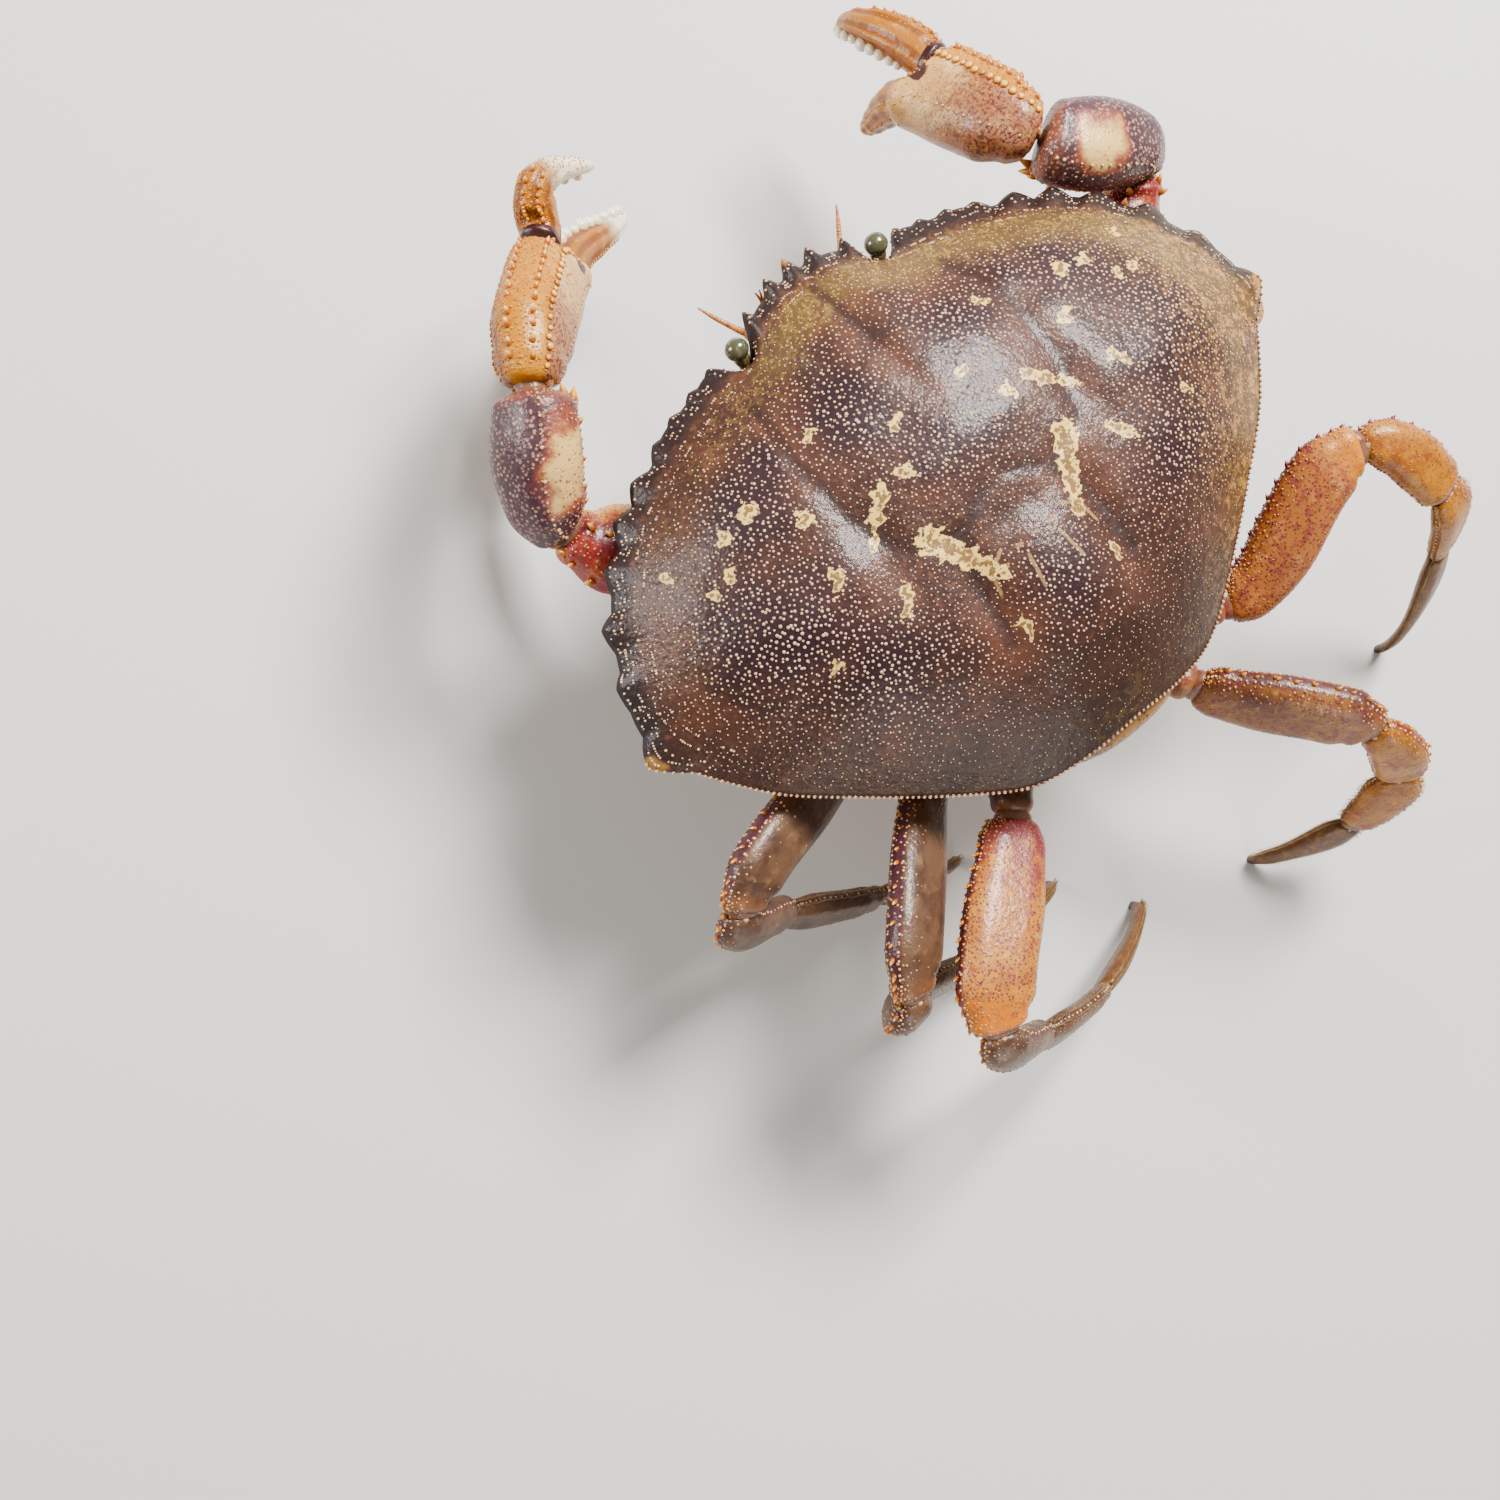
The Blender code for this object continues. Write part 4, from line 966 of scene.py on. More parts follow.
    def teeth_pull(self, rim: Array) -> Array:
        """Return how far each rim point is drawn out into a tooth, or in at an orbit.

        Args:
            rim: the smooth rim.

        Returns:
            A shift for each of its points.
        """
        pull = np.zeros_like(rim)
        run = run_along(rim)
        total = run[-1] + np.linalg.norm(rim[0] - rim[-1])
        common, last, front = self.tooth_sizes
        tips = [(tip, *common) for tip in self.side_teeth[:-1]] + [(self.side_teeth[-1], *last)]
        tips += [(tip, *front) for tip in self.front_teeth]
        for tip, half, forward in tips:
            for sign in (1.0, -1.0) if tip[0] else (1.0,):
                place = np.array(tip) * (sign, 1, 1)
                way = unit(unit(place * (1, 1, 0)) * 0.85 + np.array([0.0, -forward, 0.0]))
                if not forward:
                    way = np.array([0.0, -1.0, 0.0])
                root = np.argmin(np.linalg.norm(rim - (place - way * 3.6), axis=1))
                away = np.abs((run - run[root] + total / 2) % total - total / 2)
                near = np.clip(away / half, 0.0, 1.0)
                profile = 0.55 * (1.0 - near**1.8) + 0.45 * (1.0 - near)
                pull += profile[:, None] * (place - rim[root])
        side, reach, depth = self.orbit
        notch = depth * np.exp(-((np.abs(rim[:, 0]) - side) / reach)**2) * (rim[:, 1] < self.centre[1])
        pull[:, 1] += notch
        return pull

    def down(self, top: Array | float, under: Array | float, floor: float) -> Array:
        """Give each ring of the shell a value.

        Args:
            top: what the rings of the back have, from the middle out.
            under: what those of the underside have, from the rim in.
            floor: what the floor's have.

        Returns:
            The values as (ring, 1).
        """
        return np.concatenate([np.broadcast_to(top, self.top_rings), np.broadcast_to(under, self.under_rings),
                               np.full(len(self.floor_shares), floor)])[:, None]

    def mouth_drop(self, points: Array) -> Array:
        """Return how far the underside hangs lower round the mouth.

        Args:
            points: places on the underside.

        Returns:
            A shift upward for each, below 0 where it hangs.
        """
        across = np.exp(-(points[..., 0] / 20.0)**4)
        front = np.clip((points[..., 1] + 56.0) / 10.0, 0.0, 1.0)
        return -self.mouth_hang * across * ease(-points[..., 1], 30.0, 38.0) * front

    def shell(self) -> Shape:
        """Build the back, the teeth and the underside as one closed surface.

        Returns:
            The surface with the values that the finish reads.
        """
        rim = self.rim()
        pull = self.teeth_pull(rim)
        centre = np.array([*self.centre, 0.0])
        shares = (np.arange(1, self.top_rings + 1) / self.top_rings)**0.8
        rings = centre + (rim - centre) * shares[:, None, None]
        rings[..., 2] = self.height(rings[..., 0], rings[..., 1])
        weight = ease(shares, 0.92, 1.0)[:, None, None]
        rings = rings + pull * weight
        angles = np.arctan2(rim[:, 1] - centre[1], rim[:, 0])
        under = np.stack([self.under_half[0] * boxed(np.cos(angles), 0.8),
                          self.under_middle + self.under_half[1] * boxed(np.sin(angles), 0.8),
                          np.zeros(len(rim))], 1)
        steps = np.linspace(0.0, 1.0, self.under_rings + 1)[1:]
        below = rim * (1 - steps)[:, None, None] + under * steps[:, None, None]
        levels = np.interp(steps, *self.under_levels)
        below[..., 2] = levels[:, None] + rim[:, 2] * (1 - steps)[:, None] + self.mouth_drop(below)
        below += pull * (1.0 - ease(steps, 0.0, 0.22))[:, None, None]
        face = self.face(below) * ease(steps, 0.02, 0.1)[:, None]
        facing = unit(below * (0.3, 1.0, 0.0) + (0.0, 0.0, -26.0))
        below = below + face[..., None] * facing
        floor = under * np.array(self.floor_shares)[:, None, None]
        floor[..., 2] = self.under_levels[1][-1] + self.mouth_drop(floor)
        whole = np.concatenate([rings, below, floor])
        # Painted shade and painted highlight: the face's hollows are darkened and its raised lines lightened
        crease = np.concatenate([np.zeros((self.top_rings, len(rim))), -face, np.zeros(floor.shape[:2])])
        x, y = whole[..., 0], whole[..., 1]
        top = self.down(1.0, 0.0, 0.0)
        beneath = self.down(0.0, ease(steps, 0.03, 0.2), 1.0)
        bosses = self.humps(x, y, tuple(h for h in self.swellings + self.fine_swellings if h[2] > 0))
        boss = bosses / 2.2 - 0.7 * self.groove(x, y)
        out = self.down(shares, 1.0, 1.0)
        belt = ease(out, 0.7, 0.86) * (1.0 - ease(out, 0.9, 0.97)) * ease(-y, -15.0, 25.0)
        belt = belt * (1.0 - 0.8 * ease(x, 0.0, 48.0))
        right = ease(-x + 0.4 * y, 38.0, 78.0)
        ochre = 0.85 * belt + 0.7 * right + 0.2 * ease(out, 0.7, 1.0) * ease(y, 0.0, 30.0)
        edge = self.down(ease(shares, 0.9, 0.98), 1.0 - ease(steps, 0.05, 0.3), 0.0)
        front = ease(-y, -12.0, 8.0)
        drawn = np.linalg.norm(pull, axis=1) * (pull[:, 1] < 1.0)
        tooth = self.down(ease(shares, 0.96, 1.0), 1.0 - ease(steps, 0.0, 0.1), 0.0)
        scar = self.scar(x, y) * top
        # Painted shade over the rear of the back, weaker toward the right side
        rear = ease(y, 12.0, 48.0) * (1.0 - 0.6 * right)
        values = {"boss": boss * top, "ochre": ochre * top, "right": right * top, "rear": rear * top,
                  "groove": self.groove(x, y) * top, "seam": self.groove(x, y, self.seams) * top,
                  "scar": scar, "scar_dots": ease(scar, 0.55, 1.0),
                  "under": beneath + 0 * x, "edge": edge * front, "crease": crease, "ledge": -crease,
                  "tooth": tooth * ease(drawn, 1.6, 4.0)[None],
                  "flank": beneath * (1.0 - ease(-whole[..., 2], 4.0, 9.0)) * front}
        return skin_over(whole, values)

    def normals(self, x: Array, y: Array) -> Array:
        """Return the back's outward direction from its slopes.

        Args:
            x, y: places across and along.

        Returns:
            Directions of length one.
        """
        step = 0.25
        dx = (self.height(x + step, y) - self.height(x - step, y)) / (2 * step)
        dy = (self.height(x, y + step) - self.height(x, y - step)) / (2 * step)
        return unit(np.stack([-dx, -dy, np.ones(len(x))], 1))

    def granules(self, rng: Draw) -> list[Shape]:
        """Cover the back with low beads in a jittered honeycomb, larger on the bosses.

        Args:
            rng: the random source.

        Returns:
            One shape for each half of the back.
        """
        pitch = self.granule_pitch
        gx, gy = np.meshgrid(np.arange(-84, 84, pitch), np.arange(-62, 56, pitch * 0.866))
        gx = gx + 0.5 * pitch * (np.arange(gx.shape[0]) % 2)[:, None]
        x = (gx + rng.uniform(-0.36, 0.36, gx.shape) * pitch).ravel()
        y = (gy + rng.uniform(-0.36, 0.36, gy.shape) * pitch).ravel()
        share, _ = self.share_of_rim(x, y)
        scar = self.scar(x, y)
        groove = self.groove(x, y)
        sparse = 0.3 * ease(y, 10.0, 45.0) + 0.25 * ease(share, 0.75, 0.9)
        keep = (share < 0.975) & (rng.random(len(x)) > 0.85 * scar + 0.4 * groove + sparse)
        side, reach, _ = self.orbit
        keep &= ~((np.abs(np.abs(x) - side) < reach) & (share > 0.9) & (y < 0))
        x, y, share, groove = x[keep], y[keep], share[keep], groove[keep]
        bosses = np.clip(self.humps(x, y, self.swellings + self.fine_swellings) / 2.0, 0.0, 1.2)
        rear = ease(y, 15.0, 50.0)
        outer = ease(share, 0.72, 0.95)
        radius = self.granule_radius + 0.19 * bosses - 0.05 * rear - 0.03 * outer - 0.05 * groove
        radius = radius * rng.uniform(0.75, 1.25, len(x))
        points = np.stack([x, y, self.height(x, y)], 1)
        sizes = np.stack([radius, radius, radius * 0.8], 1)
        out = self.normals(x, y)
        along = np.tile([1.0, 0.2, 0.0], (len(x), 1))
        return [repeat(BEAD, points[half], out[half], along[half], sizes[half], rng)
                for half in (x < 0, x >= 0)]

    def on_shell(self, grid: Array, row: Array, column: Array, inside: Point
                 ) -> tuple[Array, Array, Array, Array]:
        """Read the finished shell at some of its grid points.

        Args:
            grid: the shell's points as (ring, column, axis).
            row, column: which of them.
            inside: a point inside, which the outward directions leave.

        Returns:
            Points, outward directions, steps round the ring and steps to the next ring.
        """
        point = grid[row, column]
        du = grid[row, (column + 1) % self.columns] - grid[row, column - 1]
        dv = grid[row + 1, column] - grid[row - 1, column]
        out = unit(np.cross(du, dv))
        return point, out * np.sign(np.sum(out * (point - inside), 1, keepdims=True)), du, dv

    def edge_beads(self, skin: Shape, rng: Draw) -> Shape:
        """Set beads on the teeth and a fine row along the rear edge.

        Args:
            skin: the finished shell, whose rim carries them.
            rng: the random source.

        Returns:
            The beads in one shape.
        """
        grid = skin.vertices[:-2].reshape(-1, self.columns, 3)
        last = self.top_rings - 1
        rows = np.array([last - 7, last - 5, last - 3, last - 2, last - 1, last + 1, last + 2])
        columns = np.arange(self.columns)
        row, column = (a.ravel() for a in np.meshgrid(rows, columns, indexing="ij"))
        y = grid[row, column, 1]
        keep = (y < 8.0) & (rng.random(len(row)) < 0.36)
        row, column = row[keep], column[keep]
        point, out, du, _ = self.on_shell(grid, row, column, (0.0, -4.0, 0.0))
        radius = rng.uniform(0.22, 0.42, len(point))
        teeth = repeat(BEAD, point, out, du, np.stack([radius] * 3, 1), rng)
        rear = np.flatnonzero(grid[last, :, 1] > -2.0)[::2]
        point = grid[last, rear]
        out = unit(point * (1, 1, 0) + (0, 0, 12.0))
        radius = np.full(len(rear), 0.42) * rng.uniform(0.85, 1.15, len(rear))
        row = repeat(ROUND_BEAD, point, out, np.roll(point, 1, 0) - point, np.stack([radius] * 3, 1), rng)
        return join([teeth, row])

    def beard(self, skin: Shape, rng: Draw) -> tuple[Shape, Shape]:
        """Cover the face beside the mouth with short hairs, and the belt under the edge with beads.

        Args:
            skin: the finished shell.
            rng: the random source.

        Returns:
            The hairs and the beads.
        """
        grid = skin.vertices[:-2].reshape(-1, self.columns, 3)
        first, rows = self.top_rings + 4, self.under_rings - 6
        row = first + rng.integers(0, rows, self.hair_tries)
        column = rng.integers(0, self.columns, self.hair_tries)
        point, out, du, dv = self.on_shell(grid, row, column, (0.0, -4.0, 8.0))
        x, y, z = np.abs(point[:, 0]), point[:, 1], point[:, 2]
        point = point + du * rng.uniform(-0.5, 0.5, (len(x), 1)) + dv * rng.uniform(-0.5, 0.5, (len(x), 1))
        tuft = ease(x, 14.5, 18.0) * (1 - ease(x, 30.0, 50.0)) * ease(-y, 22.0, 36.0) * ease(-z, 3.0, 7.0)
        hairs = rng.random(len(x)) < 0.5 * tuft
        reach = rng.uniform(0.7, 1.5, hairs.sum())
        ways = unit(out[hairs] + (0.0, 0.1, -0.9) + rng.normal(0, 0.2, (hairs.sum(), 3)))
        beard = repeat(HAIR, point[hairs], ways, du[hairs],
                       np.stack([np.full(len(reach), 0.06)] * 2 + [reach], 1), rng)
        belt = (1 - ease(-z, 3.0, 8.0)) * ease(-y, 5.0, 20.0) * ease(x, 15.0, 20.0)
        beads = rng.random(len(x)) < 0.28 * belt
        radius = rng.uniform(0.2, 0.36, beads.sum())
        return beard, repeat(BEAD, point[beads], out[beads], du[beads], np.stack([radius] * 3, 1), rng)

    def build(self, rng: Draw) -> None:
        """Build and dress the shell with its granules.

        Args:
            rng: the random source.
        """
        shell = self.shell()
        show("carapace_shell", shell, BACK, Slot.SHELL, "carapace")
        for side, beads in zip(("right", "left"), self.granules(rng)):
            show(f"carapace_granules_{side}", beads, GRANULE, Slot.SHELL, "carapace")
        show("carapace_edge_beads", self.edge_beads(shell, rng), GRANULE, Slot.SHELL, "carapace")
        beard, beads = self.beard(shell, rng)
        show("carapace_face_hairs", beard, HAIRS, Slot.SHELL, "carapace")
        show("carapace_face_beads", beads, GRANULE, Slot.SHELL, "carapace")


# Fullness along a segment: place along it and share of its full height and thickness
MERUS_SHAPE = [(0, 0.62, 0.7), (0.12, 0.84, 0.88), (0.45, 1, 1), (0.8, 0.98, 1), (1, 0.66, 0.8)]
ARM_MERUS_SHAPE = [(0, 0.62, 0.5), (0.15, 0.84, 0.7), (0.45, 1, 1), (0.72, 0.98, 0.95), (1, 0.66, 0.54)]
CARPUS_SHAPE = [(0, 0.66, 0.74), (0.25, 0.88, 0.95), (0.6, 1, 1), (0.85, 0.95, 0.95), (1, 0.72, 0.8)]
PROPODUS_SHAPE = [(0, 0.7, 0.8), (0.3, 1, 1), (0.75, 0.88, 0.9), (1, 0.62, 0.72)]
BASE_SHAPE = [(0, 0.95, 0.95), (0.35, 0.95, 0.95), (0.7, 0.78, 0.82), (1, 0.62, 0.64)]


@dataclass
class Segment:
    """One limb segment: an oval section carried along a smooth curve between two joint planes."""

    start: Array
    end: Array
    start_normal: Array
    end_normal: Array
    up: Array
    size: tuple[float, float]
    shape: list | tuple
    rings: int = 44
    columns: int = 44
    keel: float = 0.05
    inset: float = 0.6
    round_end: float = 1.2
    box: float = 0.85
    inner_sign: float = 1.0
    patch_facing: Point = (0.0, 0.0, 1.0)
    patch_span: tuple[float, float] = (0.3, 0.55)

    def __post_init__(self) -> None:
        """Work out the rings: boxed ovals with two keels, square to a cubic curve, rounded at the ends."""
        start = self.start + self.start_normal * self.inset
        end = self.end - self.end_normal * self.inset * (self.round_end > 0)
        length = float(np.linalg.norm(end - start))
        t = 0.5 - 0.5 * np.cos(np.linspace(0, math.pi, self.rings))
        centres, slopes = hermite(start, end, self.start_normal * length, self.end_normal * length, t)
        shares = smooth_table(self.shape, t)
        near, far = t * length, (1 - t) * length
        close = np.ones(self.rings)
        if self.round_end > 0:
            far_round = np.clip(1 - far / self.round_end, 0, 1)
            close *= np.sqrt(1 - 0.45 * far_round**2)
            close *= 1 + 0.06 * np.exp(-((far - 1.8) / 0.9)**2) - 0.03 * np.exp(-((far - 4.2) / 1.2)**2)
        near_round = np.clip(1 - near / 1.6, 0, 1)
        close *= np.sqrt(1 - 0.6 * near_round**2)
        tops, sides = carry_up(self.up, slopes)
        angles = turn_of(self.columns)
        crest = (np.exp(-(np.sin(angles / 2) / 0.22)**2) + 0.7 * np.exp(-(np.cos(angles / 2) / 0.22)**2))
        swell = 1 + self.keel * crest
        high = boxed(np.cos(angles), self.box) * swell
        wide = boxed(np.sin(angles), self.box)
        up_part = high[None] * (shares[:, 0] * self.size[0] / 2 * close)[:, None]
        hollow = (1 - 1.4 * self.keel * np.exp(-(np.cos(angles) / 0.4)**2)
                  + 0.4 * self.keel * np.cos(4 * angles))
        side_part = (wide * hollow)[None] * (shares[:, 1] * self.size[1] / 2 * close)[:, None]
        self.grid = sweep(centres, tops, sides, up_part, side_part)
        self.last_up = tops[-1]
        self.values = {
            "tip_end": on_columns(t, self.columns),
            "root": on_columns(1.0 - t, self.columns),
            "ridge": np.repeat(crest[None], self.rings, 0),
            "inner": np.repeat(np.clip(self.inner_sign * np.sin(angles), 0, 1)[None], self.rings, 0),
        }
        facing = unit(self.grid - centres[:, None]) @ unit(np.array(self.patch_facing))
        patch_end = 0.9
        middle = 0.5 * (self.patch_span[0] + patch_end)
        turn = angles - angles[np.argmax(facing[int(middle * (len(t) - 1))])]
        turn = (turn + math.pi) % (2 * math.pi) - math.pi
        reach = (patch_end - self.patch_span[0]) / 2
        away = np.hypot((t - middle)[:, None] / reach, turn[None] / self.patch_span[1] / 1.3)
        self.values["patch"] = 1.0 - ease(away, 0.15, 1.45)

    def skin(self) -> Skin:
        """Return the surface that beads and spines are set on."""
        return Skin(self.grid)

    def solid(self) -> Shape:
        """Return the segment's closed surface."""
        return skin_over(self.grid, self.values)


def beads_over(skin: Skin, spacing: float, radius: float, rng: Draw,
               upper: float = 0.0, flank: float = 0.4) -> Shape:
    """Cover a limb with low beads, larger and denser toward its upper edge.

    Args:
        skin: the surface.
        spacing: the distance between beads.
        radius: a bead's half width on the flanks.
        rng: the random source.
        upper: how much larger the beads are at the upper edge.
        flank: the share of the beads that is kept away from the upper edge.

    Returns:
        The beads in one shape.
    """
    along, around = skin.spread(spacing, rng)
    point, out, forward = skin.at(along, around)
    crest = np.cos(around * 2 * math.pi)
    keep = rng.random(len(along)) < flank + (1 - flank) * (0.5 + 0.5 * crest)**4
    size = radius * (1 + upper * np.clip(crest, 0, 1)) * rng.uniform(0.7, 1.3, len(along))
    sizes = np.stack([size, size, size * 0.75], 1)[keep]
    return repeat(BEAD, point[keep], out[keep], forward[keep], sizes, rng)


def row_on(skin: Skin, template: Shape, span: tuple[float, float], spacing: float, around: float,
           size: tuple[float, float], rng: Draw, lean: float = 0.0) -> Shape:
    """Set one row of small shapes along a limb.

    Args:
        skin: the surface.
        template: the small shape.
        span: where the row starts and ends, as shares of the length.
        spacing: the distance between neighbours.
        around: the row's share of a turn.
        size: half width and height of each.
        rng: the random source.
        lean: how far each one leans forward.

    Returns:
        The row in one shape.
    """
    centre = skin.rings.mean(1)
    length = np.linalg.norm(np.diff(centre, axis=0), axis=1).sum() * (span[1] - span[0])
    count = max(2, int(length / spacing) + 1)
    along = np.linspace(*span, count) + rng.uniform(-0.15, 0.15, count) * (span[1] - span[0]) / count
    point, out, forward = skin.at(along, np.full(count, around) + rng.uniform(-0.004, 0.004, count))
    vary = rng.uniform(0.8, 1.2, count)
    sizes = np.stack([size[0] * vary, size[0] * vary, size[1] * vary], 1)
    return repeat(template, point, out + lean * forward, forward, sizes, rng)


def sleeve(before: Segment, after: Segment) -> Shape:
    """Build the soft skin of a joint: a short bulging band between two segments' ends.

    Args:
        before: the segment nearer the body.
        after: the next one.

    Returns:
        The band, closed at both ends inside the shells.
    """
    first, last = before.grid[-5], after.grid[4]
    middles = [first.mean(0), before.grid[-1].mean(0), after.grid[0].mean(0), last.mean(0)]
    near, far = first - middles[0], last - middles[3]
    t = np.linspace(0.0, 1.0, 13)[:, None, None]
    fold = 0.8 + 0.1 * np.sin(math.pi * t) + 0.012 * np.cos(t * 38.0)
    return skin_over(bezier(*middles, t) + (near * (1 - t) + far * t) * fold)


def knobs(after: Segment, rng: Draw) -> Shape:
    """Set two pale hinge knobs on the sides of a joint.

    Args:
        after: the segment beyond the joint.
        rng: the random source.

    Returns:
        Both knobs in one shape.
    """
    skin = after.skin()
    width = after.size[1]
    point, out, forward = skin.at(np.array([0.05, 0.05]), np.array([0.25, 0.75]))
    sizes = np.tile([0.09 * width + 0.35, 0.09 * width + 0.35, 0.05 * width + 0.25], (2, 1))
    return repeat(ROUND_BEAD, point - out * 0.35, out, forward, sizes, rng)


def joint_normals(first: Array, points: list[Array], last: Array) -> list[Array]:
    """Return the facing of every joint plane: between its two segments, or as given at the ends.

    Args:
        first: the facing at the hip.
        points: the joints' places.
        last: the facing at the tip.

    Returns:
        One direction for each place.
    """
    steps = [unit(b - a) for a, b in zip(points, points[1:])]
    return [first] + [unit(0.55 * a + 0.45 * b) for a, b in zip(steps, steps[1:])] + [last]


@dataclass
class Sternum:
    """The plates under the body that carry the limbs."""

    top: float = -12.4
    bottom: float = -29.0
    front: tuple[float, float] = (17.0, -23.0)
    facets: tuple = ((16.0, -35.0), (15.5, -12.0), (15.5, 8.0), (15.0, 28.0), (15.0, 52.0))
    hip_height: float = -21.5

    def corners(self) -> tuple[list[Array], list[tuple[Array, Array]]]:
        """Return the left corners and the middle and facing of each facet.

        Returns:
            Corners, and pairs of middle and facing, in the plane.
        """
        corner = np.array(self.front)
        corners, hips = [corner], []
        for length, facing in self.facets:
            angle = math.radians(facing)
            normal = np.array([math.cos(angle), math.sin(angle)])
            following = corner + length * np.array([-normal[1], normal[0]])
            hips.append(((corner + following) / 2, normal))
            corners.append(following)
            corner = following
        return corners, hips

    def hip(self, number: int, sign: float) -> tuple[Array, Array]:
        """Return the place and facing of one hip.

        Args:
            number: 0 for the claw limb, then 1 to 4.
            sign: 1 for the left side, -1 for the right.

        Returns:
            The place and the outward direction.
        """
        place, normal = self.corners()[1][number]
        return (np.array([sign * place[0], place[1], self.hip_height]),
                np.array([sign * normal[0], normal[1], 0.0]))

    def build(self) -> None:
        """Build the plates: a rounded block with grooves between the segments."""
        left = np.array(self.corners()[0])
        outline = np.concatenate([left, left[::-1] * (-1, 1)])
        ring = np.concatenate([np.linspace(a, b, 24, endpoint=False)
                               for a, b in zip(outline, np.roll(outline, -1, 0))])
        middle = ring.mean(0)
        rows = [(self.top, 0.96), (self.top - 0.8, 0.995),
                (self.bottom + 1.6, 1.0), (self.bottom + 0.5, 0.98)]
        rows += [(self.bottom, s) for s in np.linspace(0.95, 0.04, 24)]
        grid = np.array([np.column_stack([middle + (ring - middle) * s, np.full(len(ring), z)])
                         for z, s in rows])
        x, y = grid[..., 0], grid[..., 1]
        groove = np.zeros(x.shape)
        for corner in left[1:-1]:
            line = y - corner[1] + 0.18 * (np.abs(corner[0]) - np.abs(x))
            groove = np.maximum(groove, np.exp(-(line / 0.6)**2) * ease(np.abs(x), 7.0, 11.0))
        flat = grid[..., 2] < self.bottom + 0.2
        grid[..., 2] += flat * 0.9 * groove
        show("sternum_plates", skin_over(grid, {"groove": groove}), BELLY, Slot.UNDER, "sternum")


@dataclass
class Abdomen:
    """The narrow abdomen, folded from the shell's rear under the sternum, in seven plates."""

    # y, z, half width and thickness from under the shell's rear edge to the tip
    path: tuple = (
        (53.8, 4.8, 9.2, 3), (53.8, 3, 11.6, 5.4), (53.4, -5, 13.5, 8.8), (51.8, -15, 13.6, 8.6),
        (49.6, -25.8, 12.4, 5.4), (43.4, -32, 11.5, 3.4), (36, -31.6, 11, 3.4), (20, -31.3, 9.5, 3.4),
        (2, -31.3, 6, 3.2), (-8, -31.3, 2, 2.6))
    seams: tuple = (0.09, 0.21, 0.33, 0.52, 0.68, 0.83)

    def build(self) -> None:
        """Build the plates as one surface with a groove at each seam."""
        path = np.array(self.path)
        run = run_along(path[:, :2])
        t = np.linspace(0, 1, 110)
        y, z, half, thick = (np.interp(t * run[-1], run, path[:, axis]) for axis in range(4))
        smooth = np.ones(7) / 7
        y[3:-3], z[3:-3] = np.convolve(y, smooth, "valid"), np.convolve(z, smooth, "valid")
        centres = np.stack([np.zeros(len(t)), y, z], 1)
        slopes = unit(np.gradient(centres, axis=0))
        out = np.stack([np.zeros(len(t)), -slopes[:, 2], slopes[:, 1]], 1)
        seam = np.max([np.exp(-((t - s) / 0.007)**2) for s in self.seams], axis=0)
        plate = np.searchsorted(self.seams, t)
        edges = np.array([0.0, *self.seams, 1.0])
        along = (t - edges[plate]) / (edges[plate + 1] - edges[plate])
        half = half * (1.0 + 0.03 * np.sin(math.pi * along)) * (1 - 0.05 * seam)
        angles = turn_of(36)
        tall = thick / 2 * (0.97 + 0.05 * np.sin(math.pi * along)) - 0.7 * seam
        across = np.tile([1.0, 0.0, 0.0], (len(t), 1))
        grid = sweep(centres, out, across, np.cos(angles) * tall[:, None],
                     boxed(np.sin(angles), 0.85) * half[:, None])
        rear = 1.0 - ease(t, 0.12, 0.34)
        values = {"groove": on_columns(seam, len(angles)), "rear": on_columns(rear, len(angles))}
        show("abdomen_plates", skin_over(grid, values), TAIL, Slot.UNDER, "abdomen")


